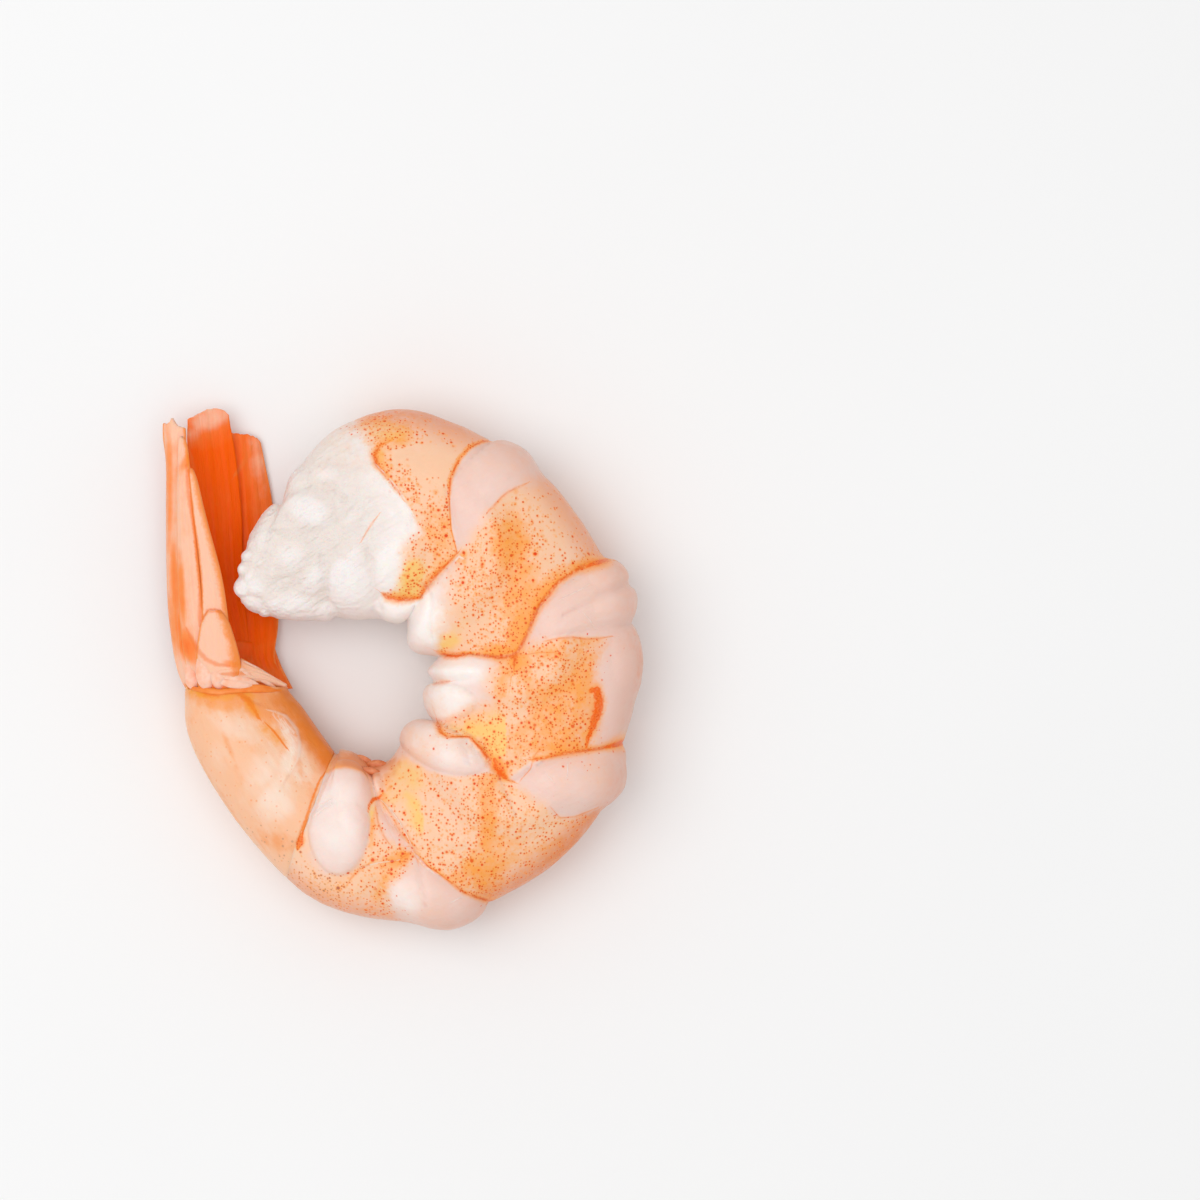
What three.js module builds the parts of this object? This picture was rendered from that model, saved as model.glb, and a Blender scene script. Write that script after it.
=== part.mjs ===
// A cooked prawn, peeled but for its last shell ring and its tail fan, lying curled on its side.
//
// Millimetres, +Z up. The origin is on the surface that the prawn lies on, at the middle of its
// bounding box. Seen from above, the body is a C that opens to the left: the cut head end is at
// the upper left, the back is the outer side of the C, and the belly is its inner side. The tail
// fan stands at the left and points along +Y.
//
// The flesh is one closed skin. It is lofted through stations that each hold a belly point, a back
// point, half the thickness across the flanks, and the height of the middle plane. The segments
// show as creases that run from the back to the belly, with a bulge behind each, and as lobes.
// The shell ring is a thin tube round the end of the flesh. The fan is one spike and, on each
// side, a root plate with two blades.

import * as THREE from "three";

// Sizes that drive the part
const SHELL_WALL = 0.5; // thickness of the shell ring
const CLEARANCE = 0.3; // gap between two pieces that touch
const SQUASH = 0.25; // how far the soft underside is pressed flat by its own weight
const SKIN_ROWS = 92; // rings of facets along the bare flesh
const HEAD_ROWS = 6; // rings of facets over the cut head end
const SKIN_COLUMNS = 36; // facets round the flesh
const HEAD_DEPTH = 1.7; // how far the cut head end bulges
const NECK = 0.2; // the station where the rounded head end begins
const SECTION_ROUNDNESS = 0.86; // exponent of the section: 1 is an ellipse, less is boxier
const BELLY_TAPER = 0.24; // share of its thickness that a section loses towards the belly

// Colours from the cooked meat and shell
const FLESH_COLOUR = 0xf6cdb0;
const SHELL_COLOUR = 0xf7b384;
const FAN_COLOUR = 0xf08048;
const FAN_INNER_COLOUR = 0xe05a14;

// Stations along the body, from the cut head end to the root of the tail:
// belly x, belly y, back x, back y, half thickness, height of the middle plane.
const BODY = [
  [-15.9, 7.1, -12.4, 15.8, 3.8, 8.2],
  [-13.4, 5.6, -10.0, 20.4, 5.4, 7.8],
  [-9.6, 5.1, -5.0, 24.8, 6.7, 7.3],
  [-5.4, 5.2, 0.6, 26.1, 7.5, 7.3],
  [-1.6, 5.1, 5.6, 24.6, 7.7, 7.4],
  [0.9, 4.7, 10.2, 22.2, 7.7, 7.4],
  [2.7, 3.1, 15.4, 18.4, 7.8, 7.5],
  [4.0, 1.2, 19.8, 12.2, 7.8, 7.5],
  [4.2, -1.0, 22.9, 5.6, 7.8, 7.5],
  [3.6, -3.3, 23.9, -0.4, 7.7, 7.4],
  [2.7, -5.4, 22.4, -7.2, 7.6, 7.3],
  [1.1, -7.5, 20.2, -13.8, 7.4, 7.1],
  [-0.8, -9.0, 15.8, -19.1, 7.0, 6.8],
  [-2.8, -9.5, 10.0, -22.8, 6.6, 6.5],
  [-4.0, -9.4, 4.0, -25.1, 6.2, 6.2],
  [-5.1, -9.0, -1.8, -25.0, 5.8, 6.0],
  [-5.8, -8.8, -6.7, -23.9, 5.5, 5.8],
  [-6.4, -8.5, -10.8, -21.4, 5.2, 5.7],
  [-8.1, -6.2, -15.5, -16.4, 4.9, 5.5],
  [-9.9, -3.7, -19.4, -10.6, 4.6, 5.3],
  [-11.0, -2.4, -21.4, -6.0, 4.3, 5.1],
  [-11.4, -1.7, -21.6, -1.8, 4.1, 5.0],
];
const RING_START = 17; // the station where the shell ring begins

// Creases between segments, from the back, through the pinch on the flank, to the belly.
const CREASES = [
  [[9.2, 23.0], [5.4, 17.6], [5.8, 11.7], [2.6, 7.9], [0.4, 4.6]],
  [[20.6, 11.2], [14.2, 6.6], [11.7, 1.8], [6.0, 1.6], [2.8, 1.3]],
  [[22.8, -7.4], [15.0, -8.8], [10.7, -10.9], [6.6, -6.7], [2.4, -4.6]],
  [[9.8, -24.0], [4.2, -20.5], [1.4, -18.1], [-1.8, -13.6], [-3.0, -9.8]],
];
const PINCH = 2; // index, in each crease, of the point where the flank is drawn in
const CREASE_DEPTH = 0.55;
const CREASE_WIDTH = 0.5; // how fast the skin rises again on the head side
const BULGE_RISE = 0.85; // of the pale flesh behind a crease
const BULGE_REACH = 3.2;
const PINCH_REACH = 4.5; // within this distance of a pinch the bulges fade out

// Lobes of flesh: middle x, y, half length, half width, turn in degrees, rise.
const LOBES = {
  snoutLobe: [-16.6, 8.7, 2.0, 1.5, 20, 0.8],
  browLobe: [-14.3, 13.4, 2.2, 1.3, 60, 0.5],
  cheekLobe: [-12.6, 9.6, 3.4, 2.0, 15, 0.5],
  socketBulge: [-6.2, -15.1, 5.4, 2.9, 88, 1.7],
  fourthBellyLobe: [4.4, -7.7, 4.8, 2.3, -20, 1.2],
  thirdBellyLobe: [4.9, -3.2, 3.0, 1.8, 5, 1.0],
  thirdBellyFold: [5.4, 0.0, 3.0, 1.0, 2, 0.8],
  secondBellyLobe: [2.8, 4.2, 2.9, 2.0, 80, 1.0],
  firstBellyLobe: [-0.4, 6.1, 2.0, 1.2, -10, 0.9],
  neckLobe: [-3.8, 8.2, 3.4, 2.0, 78, 1.0],
  neckMuscle: [-8.0, 17.0, 3.2, 2.3, -10, 0.9],
  firstFlank: [0.3, 10.5, 3.6, 2.1, 84, 0.5],
  thirdBackFoldA: [19.6, 8.8, 3.6, 1.2, 42, 0.3],
  thirdBackFoldB: [21.4, 6.0, 3.8, 1.5, 20, 0.7],
  fourthBackLobe: [17.6, -11.2, 5.4, 2.6, -4, 0.7],
  fifthBackLobe: [3.3, -22.4, 4.6, 2.6, -14, 0.7],
  secondBackLobe: [10.6, 19.4, 4.6, 2.7, -38, 0.4],
};
const LOBE_EDGE = 0.6; // exponent of a lobe's profile: small is a steep rim

// The value between four neighbours of a list, by a uniform Catmull-Rom spline.
function between(list, u) {
  const i = Math.min(Math.max(Math.floor(u), 0), list.length - 2);
  const w = u - i;
  const beyond = (near, next) => near.map((v, k) => 2 * v - next[k]);
  const b = list[i];
  const c = list[i + 1];
  const a = list[i - 1] ?? beyond(b, c);
  const d = list[i + 2] ?? beyond(c, b);
  return b.map((v, k) => {
    const leave = (c[k] - a[k]) / 2;
    const arrive = (d[k] - v) / 2;
    const rise = c[k] - v;
    return v + w * (leave + w * (3 * rise - 2 * leave - arrive + w * (leave + arrive - 2 * rise)));
  });
}

const rounded = (v) => Math.sign(v) * Math.abs(v) ** SECTION_ROUNDNESS;

// The point of the plain loft at station u and angle a: 0 is the back, half a turn is the belly.
function loftPoint(u, a, inset = 0) {
  const [bellyX, bellyY, backX, backY, half, middle] = between(BODY, u);
  const reach = Math.hypot(backX - bellyX, backY - bellyY) / 2;
  const across = rounded(Math.cos(a));
  const taper = 1 - BELLY_TAPER * ((1 - across) / 2) ** 2;
  const share = ((reach - inset) / reach) * across;
  return new THREE.Vector3(
    (bellyX + backX) / 2 + (share * (backX - bellyX)) / 2,
    (bellyY + backY) / 2 + (share * (backY - bellyY)) / 2,
    middle + (half - inset) * taper * rounded(Math.sin(a)),
  );
}

// The same with a rounded head end, which begins at NECK and closes at station -1.
function skinPoint(u, a) {
  if (u >= NECK) return loftPoint(u, a);
  const lean = ((NECK - Math.max(u, -1)) / (NECK + 1)) * (Math.PI / 2);
  const [bellyX, bellyY, backX, backY, , middle] = between(BODY, NECK);
  const centre = new THREE.Vector3((bellyX + backX) / 2, (bellyY + backY) / 2, middle);
  const ahead = new THREE.Vector3(bellyY - backY, backX - bellyX, 0).normalize();
  return loftPoint(NECK, a)
    .sub(centre)
    .multiplyScalar(rounded(Math.cos(lean)))
    .add(centre)
    .addScaledVector(ahead, HEAD_DEPTH * Math.sin(lean));
}

const creaseLines = CREASES.map((points) => ({
  line: new THREE.SplineCurve(points.map(([x, y]) => new THREE.Vector2(x, y))).getPoints(28),
  pinch: new THREE.Vector2(...points[PINCH]),
}));

// Distance from a point to a line of points, below zero on the line's head side.
function signedDistance(line, x, y) {
  let best = Infinity;
  let side = 1;
  for (let i = 0; i + 1 < line.length; i++) {
    const [p, q] = [line[i], line[i + 1]];
    const [dx, dy] = [q.x - p.x, q.y - p.y];
    const t = Math.min(1, Math.max(0, ((x - p.x) * dx + (y - p.y) * dy) / (dx * dx + dy * dy)));
    const [ex, ey] = [x - p.x - t * dx, y - p.y - t * dy];
    const away = Math.hypot(ex, ey);
    if (away < best) {
      best = away;
      side = dx * ey - dy * ex < 0 ? -1 : 1;
    }
  }
  return side * best;
}

// How far the skin stands out of the plain loft over the point x, y of the flank.
function relief(x, y) {
  let rise = 0;
  for (const { line, pinch } of creaseLines) {
    const d = signedDistance(line, x, y);
    if (d < 0) {
      rise -= CREASE_DEPTH * Math.exp(d / CREASE_WIDTH);
      continue;
    }
    const free = Math.min(1, pinch.distanceTo(new THREE.Vector2(x, y)) / PINCH_REACH);
    const near = Math.min(d / BULGE_REACH, 1);
    const far = Math.min(Math.max(d / BULGE_REACH - 1, 0), 1);
    const bulge = Math.sqrt(1 - (1 - near) ** 2) * (1 - far * far * (3 - 2 * far));
    rise += free * BULGE_RISE * bulge - CREASE_DEPTH * Math.exp(-d / CREASE_WIDTH);
  }
  let lobe = 0;
  for (const [lx, ly, long, wide, turn, height] of Object.values(LOBES)) {
    const a = THREE.MathUtils.degToRad(turn);
    const [dx, dy] = [x - lx, y - ly];
    const along = (dx * Math.cos(a) + dy * Math.sin(a)) / long;
    const across = (dy * Math.cos(a) - dx * Math.sin(a)) / wide;
    lobe = Math.max(lobe, height * Math.max(0, 1 - along ** 2 - across ** 2) ** LOBE_EDGE);
  }
  return rise + lobe;
}

// A closed skin over rings of points. Each end is closed by a pole, or zipped shut between the
// ring's two halves; a looped skin joins its last ring to its first.
function closedSkin(rings, { start = "zip", end = "zip", looped = false } = {}) {
  const n = rings[0].length;
  const points = rings.flat();
  const faces = [];
  const steps = looped ? rings.length : rings.length - 1;
  for (let r = 0; r < steps; r++) {
    const [p, q] = [r * n, ((r + 1) % rings.length) * n];
    for (let i = 0; i < n; i++) {
      const j = (i + 1) % n;
      faces.push(p + i, p + j, q + j, p + i, q + j, q + i);
    }
  }
  const close = (ring, way, flip) => {
    const face = (a, b, c) => faces.push(...(flip ? [c, b, a] : [a, b, c]));
    if (way instanceof THREE.Vector3) {
      points.push(way);
      for (let i = 0; i < n; i++) {
        face(ring * n + ((i + 1) % n), ring * n + i, points.length - 1);
      }
    } else {
      for (let i = 0; i + 1 < n / 2; i++) {
        const [a, b, c, d] = [i, i + 1, n - 2 - i, n - 1 - i].map((k) => ring * n + k);
        face(b, a, d);
        if (c !== b) face(b, d, c);
      }
    }
  };
  if (!looped) {
    close(0, start, false);
    close(rings.length - 1, end, true);
  }
  const geometry = new THREE.BufferGeometry().setFromPoints(points);
  geometry.setIndex(faces);
  return facingOut(geometry);
}

// The same geometry with its faces pointing out, whichever way round its rings ran.
function facingOut(geometry) {
  const index = geometry.index.array;
  const at = geometry.attributes.position;
  const corner = (i) => new THREE.Vector3().fromBufferAttribute(at, index[i]);
  let volume = 0;
  for (let i = 0; i < index.length; i += 3) {
    volume += corner(i).dot(corner(i + 1).cross(corner(i + 2)));
  }
  if (volume < 0) index.reverse();
  return geometry;
}

function piece(name, geometry, colour, roughness) {
  const mesh = new THREE.Mesh(geometry, new THREE.MeshStandardMaterial({ color: colour, roughness }));
  mesh.name = name;
  return mesh;
}

const turnOf = (i, count) => (2 * Math.PI * i) / count;

// One ring of the plain loft at station u.
function loftRing(u, columns, inset) {
  return Array.from({ length: columns }, (_, i) => loftPoint(u, turnOf(i, columns), inset));
}

// One ring of the bare flesh, pushed out by its relief along the loft's own normals.
function reliefRing(u) {
  const step = 0.02;
  return Array.from({ length: SKIN_COLUMNS }, (_, i) => {
    const a = turnOf(i, SKIN_COLUMNS);
    const point = skinPoint(u, a);
    const lengthwise = skinPoint(u + step, a).sub(skinPoint(u - step, a));
    const around = skinPoint(u, a + step).sub(skinPoint(u, a - step));
    const out = around.cross(lengthwise).normalize();
    return point.addScaledVector(out, relief(point.x, point.y));
  });
}

// The flesh: the cut head end, the bare segments, and the plug that runs on inside the shell ring.
function makeFlesh() {
  const rings = [];
  for (let k = 1; k <= HEAD_ROWS; k++) {
    rings.push(reliefRing(-1 + ((NECK + 1) * k) / (HEAD_ROWS + 1)));
  }
  const bareEnd = RING_START - 0.02;
  for (let k = 0; k <= SKIN_ROWS; k++) {
    rings.push(reliefRing(NECK + ((bareEnd - NECK) * k) / SKIN_ROWS));
  }
  const plugRows = 8;
  const plugEnd = BODY.length - 1.03;
  for (let k = 0; k <= plugRows; k++) {
    const u = bareEnd + ((plugEnd - bareEnd) * k) / plugRows;
    rings.push(loftRing(u, SKIN_COLUMNS, SHELL_WALL + CLEARANCE));
  }
  const snout = skinPoint(-1, 0);
  const heel = loftPoint(plugEnd + 0.03, 0).lerp(loftPoint(plugEnd + 0.03, Math.PI), 0.5);
  for (const p of [snout, heel, ...rings.flat()]) p.z = Math.max(p.z - SQUASH, 0);
  return piece("flesh", closedSkin(rings, { start: snout, end: heel }), FLESH_COLOUR, 0.45);
}

// The shell ring: a thin-walled tube round the end of the flesh.
function makeShellRing() {
  const rows = 12;
  const columns = 28;
  const start = RING_START + 0.06;
  const end = BODY.length - 1;
  const outer = [];
  const inner = [];
  for (let k = 0; k <= rows; k++) {
    const u = start + ((end - start) * k) / rows;
    outer.push(loftRing(u, columns, 0));
    inner.unshift(loftRing(u, columns, SHELL_WALL));
  }
  const rings = [...outer, ...inner];
  for (const p of rings.flat()) p.z -= SQUASH;
  return piece("shell_ring", closedSkin(rings, { looped: true }), SHELL_COLOUR, 0.4);
}

// A thin blade lofted through stations, each the left and right edge points across the blade, from
// root to tip. It is arched by camber across its width, and ribbed lengthwise.
function makeBlade(name, shape) {
  const { stations, thickness, camber, ribs = 0, ribRise = 0, rows = 12, tip = 0.05 } = shape;
  const columns = 6;
  const last = stations.length - 1;
  const rings = [];
  for (let r = 0; r <= rows; r++) {
    const u = r / rows;
    const edges = between(stations, u * last);
    const a = new THREE.Vector3(...edges.slice(0, 3));
    const b = new THREE.Vector3(...edges.slice(3));
    const ahead = between(stations, Math.min(u + 0.02, 1) * last).slice(0, 3);
    const behind = between(stations, Math.max(u - 0.02, 0) * last).slice(0, 3);
    const lengthwise = new THREE.Vector3(...ahead).sub(new THREE.Vector3(...behind));
    const out = b.clone().sub(a).cross(lengthwise).normalize();
    const past = Math.max(0, (u - 1 + tip) / (tip * 1.25));
    const narrow = Math.sqrt(1 - past ** 2);
    const top = [];
    const bottom = [];
    for (let c = 0; c <= columns; c++) {
      const w = (2 * c) / columns - 1;
      const arch = (camber * (1 - w * w) + ribRise * Math.cos(ribs * Math.PI * w)) * narrow;
      const half = (thickness / 2) * Math.max(0.45, Math.sqrt(1 - w ** 4));
      const point = a.clone().lerp(b, 0.5 + (w * narrow) / 2).addScaledVector(out, arch);
      top.push(point.clone().addScaledVector(out, half));
      bottom.unshift(point.clone().addScaledVector(out, -half));
    }
    rings.push([...top, ...bottom]);
  }
  return piece(name, closedSkin(rings), name.startsWith("lower") ? FAN_INNER_COLOUR : FAN_COLOUR, 0.4);
}

// The tail fan, folded to a trough that opens towards the belly. The upper flank's blades stand
// steeply, and the lower flank's lie almost flat. Each station is left x, y, z, right x, y, z.
const FAN = {
  telson: {
    stations: [
      [-21.3, -1.4, 3.6, -20.6, -1.4, 6.3],
      [-22.7, 2.0, 3.5, -21.2, 2.0, 6.3],
      [-23.4, 8.0, 3.8, -21.5, 8.0, 6.2],
      [-23.5, 15.0, 4.2, -21.6, 15.0, 6.1],
      [-23.6, 21.0, 4.6, -21.7, 21.0, 5.8],
      [-23.5, 23.8, 4.9, -22.3, 23.8, 5.6],
      [-22.8, 25.3, 5.3, -22.5, 25.3, 5.5],
    ],
    thickness: 0.7,
    camber: 0.5,
  },
  upper_root: {
    stations: [
      [-20.4, -1.5, 7.2, -16.1, -1.4, 8.6],
      [-20.4, 1.0, 8.0, -16.4, 1.5, 8.9],
      [-20.0, 4.0, 8.8, -17.0, 4.0, 9.0],
      [-19.6, 5.9, 9.1, -17.6, 5.9, 9.1],
    ],
    thickness: 0.9,
    camber: 0.5,
    rows: 8,
    tip: 0.2,
  },
  upper_outer_blade: {
    stations: [
      [-21.0, 1.6, 7.2, -20.6, 2.0, 8.0],
      [-21.8, 5.5, 7.2, -19.9, 5.5, 8.1],
      [-22.3, 11.0, 7.2, -20.1, 11.0, 8.2],
      [-22.6, 17.0, 7.0, -20.9, 17.0, 7.8],
      [-22.3, 22.4, 6.7, -21.5, 22.0, 7.2],
      [-22.1, 23.6, 6.7, -21.7, 23.4, 7.0],
    ],
    thickness: 0.45,
    camber: 0.25,
    ribs: 2,
    ribRise: 0.08,
  },
  upper_inner_blade: {
    stations: [
      [-19.8, 6.4, 9.0, -17.5, 6.3, 9.2],
      [-20.3, 10.0, 9.0, -18.0, 10.0, 9.2],
      [-20.9, 14.5, 8.8, -18.9, 14.5, 8.9],
      [-21.2, 19.6, 8.2, -20.4, 19.4, 8.3],
    ],
    thickness: 0.45,
    camber: 0.35,
    ribs: 1,
    ribRise: 0.06,
  },
  collar_flap: {
    stations: [
      [-15.7, 1.3, 7.9, -15.7, -1.3, 8.5],
      [-13.8, 0.0, 6.9, -13.6, -1.3, 7.3],
      [-11.6, -1.4, 5.4, -11.8, -1.5, 5.8],
    ],
    thickness: 0.45,
    camber: -0.2,
    rows: 6,
  },
  lower_root: {
    stations: [
      [-18.6, -1.3, 2.6, -11.2, -1.4, 1.9],
      [-18.2, 0.6, 2.4, -12.3, 0.6, 1.5],
      [-17.6, 2.7, 2.2, -12.8, 2.4, 1.2],
    ],
    thickness: 0.8,
    camber: 0.2,
    rows: 6,
  },
  lower_inner_blade: {
    stations: [
      [-18.6, 3.2, 2.7, -15.4, 3.1, 2.0],
      [-20.2, 8.0, 3.2, -15.9, 8.0, 2.0],
      [-20.9, 16.0, 3.6, -16.1, 16.0, 2.1],
      [-21.4, 22.4, 3.9, -16.8, 22.4, 2.6],
      [-21.3, 24.2, 4.0, -17.0, 24.2, 2.8],
      [-18.9, 26.3, 4.0, -17.6, 26.0, 3.5],
    ],
    thickness: 0.45,
    camber: -0.4,
    ribs: 1,
    ribRise: 0.1,
  },
  lower_outer_blade: {
    stations: [
      [-17.2, 3.3, 1.1, -12.5, 2.8, 0.7],
      [-18.0, 8.0, 0.9, -12.3, 8.0, 0.5],
      [-18.4, 16.0, 0.8, -12.8, 16.0, 0.4],
      [-18.2, 22.0, 0.9, -14.1, 22.0, 0.5],
      [-18.0, 24.1, 1.0, -14.8, 23.8, 0.6],
    ],
    thickness: 0.45,
    camber: 0.2,
    ribs: 2,
    ribRise: 0.06,
  },
};

const prawn = new THREE.Group();
prawn.add(makeFlesh(), makeShellRing());
for (const [name, shape] of Object.entries(FAN)) prawn.add(makeBlade(name, shape));

export default prawn;
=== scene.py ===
"""A cooked prawn, peeled but for its last shell ring and its tail fan, lying curled on its side.

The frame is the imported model: metres, +Z up, the prawn resting on the floor at zero. Tables of
sizes are in millimetres, as in the part's source, and the meshes are made in metres.
"""

import math

import bpy
import mathutils
import numpy as np
from bpy.props import FloatProperty, FloatVectorProperty, IntProperty, PointerProperty
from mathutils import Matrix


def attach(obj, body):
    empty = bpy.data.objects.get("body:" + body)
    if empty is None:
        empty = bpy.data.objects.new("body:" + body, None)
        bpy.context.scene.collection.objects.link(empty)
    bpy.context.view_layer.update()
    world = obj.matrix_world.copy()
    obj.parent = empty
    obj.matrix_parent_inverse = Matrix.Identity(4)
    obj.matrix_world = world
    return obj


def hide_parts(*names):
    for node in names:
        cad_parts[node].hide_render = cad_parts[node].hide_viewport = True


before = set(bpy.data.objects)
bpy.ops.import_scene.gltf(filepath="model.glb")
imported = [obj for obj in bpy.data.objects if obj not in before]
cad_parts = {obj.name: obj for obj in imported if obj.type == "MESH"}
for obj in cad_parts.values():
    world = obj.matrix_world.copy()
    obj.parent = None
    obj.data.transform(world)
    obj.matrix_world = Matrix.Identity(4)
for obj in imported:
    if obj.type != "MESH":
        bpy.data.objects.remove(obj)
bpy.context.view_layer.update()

bl_info = {
    "name": "Cooked prawn",
    "version": (1, 0, 0),
    "blender": (4, 5, 0),
    "location": "View3D > Sidebar > Prawn",
    "description": "Builds the looks of a cooked prawn round its packed solids",
    "category": "Mesh",
}

MM = 0.001
FAR = 60.0  # half widths from a line, where none is near

# Stations along the body, as in the part's source: belly x, belly y, back x, back y, half
# thickness, height of the middle plane.
BODY = [
    (-15.9, 7.1, -12.4, 15.8, 3.8, 8.2), (-13.4, 5.6, -10, 20.4, 5.4, 7.8),
    (-9.6, 5.1, -5, 24.8, 6.7, 7.3), (-5.4, 5.2, 0.6, 26.1, 7.5, 7.3),
    (-1.6, 5.1, 5.6, 24.6, 7.7, 7.4), (0.9, 4.7, 10.2, 22.2, 7.7, 7.4),
    (2.7, 3.1, 15.4, 18.4, 7.8, 7.5), (4, 1.2, 19.8, 12.2, 7.8, 7.5),
    (4.2, -1, 22.9, 5.6, 7.8, 7.5), (3.6, -3.3, 23.9, -0.4, 7.7, 7.4),
    (2.7, -5.4, 22.4, -7.2, 7.6, 7.3), (1.1, -7.5, 20.2, -13.8, 7.4, 7.1),
    (-0.8, -9, 15.8, -19.1, 7, 6.8), (-2.8, -9.5, 10, -22.8, 6.6, 6.5),
    (-4, -9.4, 4, -25.1, 6.2, 6.2), (-5.1, -9, -1.8, -25, 5.8, 6),
    (-5.8, -8.8, -6.7, -23.9, 5.5, 5.8), (-6.4, -8.5, -10.8, -21.4, 5.2, 5.7),
    (-8.1, -6.2, -15.5, -16.4, 4.9, 5.5), (-9.9, -3.7, -19.4, -10.6, 4.6, 5.3),
    (-11, -2.4, -21.4, -6, 4.3, 5.1), (-11.4, -1.7, -21.6, -1.8, 4.1, 5),
]
NECK = 0.2  # the station where the rounded head end begins
HEAD_DEPTH = 1.7
SECTION_ROUNDNESS = 0.86
BELLY_TAPER = 0.24
SQUASH = 0.25  # how far the body sinks to lie flat
SHELL_WALL = 0.5
SHELL_TIP_THIN = 0.38  # how much thinner its wall is at the tail edge
SHELL_HEAD_THIN = 0.25  # and at the head edge
CLEARANCE = 0.3
RING_START = 17.06  # the station of the shell ring's head edge at the back and the belly
RING_BOW = 0.07  # how far that edge bows towards the tail on the flanks
RING_END = 21.0

# Creases between segments, from the back, through the pinch on the flank, to the belly.
CREASES = [
    [(9.4, 23), (5, 18.3), (5.8, 11.7), (2.6, 7.9), (0.4, 4.6)],
    [(20.6, 11.2), (14.2, 6.6), (11.7, 1.8), (6, 1.6), (2.8, 1.3)],
    [(22.8, -7.4), (15, -8.8), (10.7, -10.9), (6.6, -6.7), (2.4, -4.6)],
    [(9.8, -24), (4.2, -20.5), (1.4, -18.1), (-1.8, -13.6), (-3, -9.8)],
]
PINCH = 2
CREASE_DEPTH = 0.55
CREASE_FALL = 0.4  # how wide a crease is on its tail side
LIP_FALL = 0.32  # and on its head side
SHALLOW_AT_PINCH = 0.4  # share of the depth that a crease keeps at its pinch
SHALLOW_AT_BACK = 0.45  # and at the back
BULGE_RISE = 0.85
BULGE_REACH = 3.2
PINCH_REACH = 4.5
FOLDS_ROUND = 36  # folds round a pinch, if they went all the way
LOBE_EDGE = 0.6

# Lobes of flesh: middle x, y, half length, half width, turn in degrees, rise.
LOBES = [
    (-6, -15.3, 5.1, 3.1, 88, 1.6), (-5.5, -12.5, 2.9, 2.8, 0, 1.6),
    (4.4, -7.7, 4.8, 2.3, -20, 1.2), (4.9, -3.2, 3, 1.8, 5, 1),
]
# Lobes that melt into the flesh round them, laid out the same way.
SOFT_LOBES = [
    (2.8, 4.2, 3.3, 2.4, 80, 1.2), (-0.4, 6.1, 2.3, 1.5, -10, 1), (0.3, 10.5, 4.2, 2.6, 84, 0.6),
    (5.4, 0, 3.3, 1.2, 2, 0.9), (20.6, 9.3, 2.8, 2, -48, 0.85), (21.9, 6.3, 3, 2.3, 8, 1),
    (23.2, 1.2, 2.2, 4.4, 4, 0.5), (17.6, -11.2, 6.2, 3.2, -4, 0.9),
    (3.3, -22.4, 5.4, 3.2, -14, 0.9), (10.6, 19.4, 5.4, 3.4, -38, 0.5),
    (11.9, -10.1, 1.5, 1.1, 30, 0.4), (-2.3, -11.4, 1.4, 0.7, 96, 0.6),
    (6, -17.1, 1.3, 0.8, 20, 0.16), (5.3, -19, 1.2, 0.9, 10, 0.16),
    (-0.3, -15.3, 3.2, 0.5, -52, 0.34), (-3.9, -21.3, 1.7, 1.1, 62, 0.26),
    (4.8, 2.9, 1.7, 1, 75, 0.2), (5.2, 0.8, 2.6, 0.45, 3, 0.35), (5, -0.6, 2.4, 0.45, 0, 0.3),
    (-7, 22.5, 3.4, 2, 34, 0.24), (3, 5.8, 2, 0.9, -40, 0.2),
]
SOFT_LOBE_EDGE = 1.4

# Lumps of the cut head end and the neck, laid out the same way, with valleys between them.
HEAD_LOBES = [
    (-8.9, 15.9, 3.5, 2.3, -22, 0.4), (-7.4, 19.6, 2.2, 1.3, 5, 0.28),
    (-10.5, 19, 1.8, 1.4, 40, 0.22), (-13.7, 12.9, 2.4, 1.9, 50, 0.2),
    (-16, 8.2, 1.5, 1.2, 10, 0.5), (-14.3, 8.4, 1.9, 1.4, -20, 0.3),
    (-14.7, 6.6, 1.7, 1.1, -25, 0.45), (-10.6, 6.3, 4, 1.8, -6, 0.5),
    (-10.8, 11.4, 2.8, 2.3, 30, 0.3), (-8.4, 9.2, 2.6, 1.9, 60, 0.32),
    (-4.8, 8.2, 3.8, 2.7, -72, 0.95), (-4.5, 11, 2.1, 1.7, 70, 0.3), (-1, 10.2, 3.2, 1.9, 88, 0.65),
    (-0.4, 5.9, 1.9, 1.3, -5, 0.65), (-5, 15, 2.2, 1.4, 40, 0.18), (-7.4, 5.7, 1.9, 1.2, 0, 0.4),
    (-15.3, 11.4, 0.9, 0.7, 30, 0.36), (-15.7, 10.1, 0.8, 0.6, 80, 0.36),
    (-14.8, 12.7, 0.8, 0.6, 40, 0.18), (-16.8, 8, 0.8, 0.7, 0, 0.36),
    (-15.8, 6.7, 0.8, 0.6, -30, 0.36), (-13.6, 5.8, 0.9, 0.6, -15, 0.36),
    (-12.1, 5.2, 0.9, 0.6, 0, 0.3), (-15, 9.2, 0.9, 0.7, 60, 0.3), (-13.8, 10.8, 0.8, 0.5, 20, 0.2),
    (-12.6, 9.8, 0.9, 0.6, 70, 0.2),
]
HEAD_LOBE_EDGE = 1.5
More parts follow.
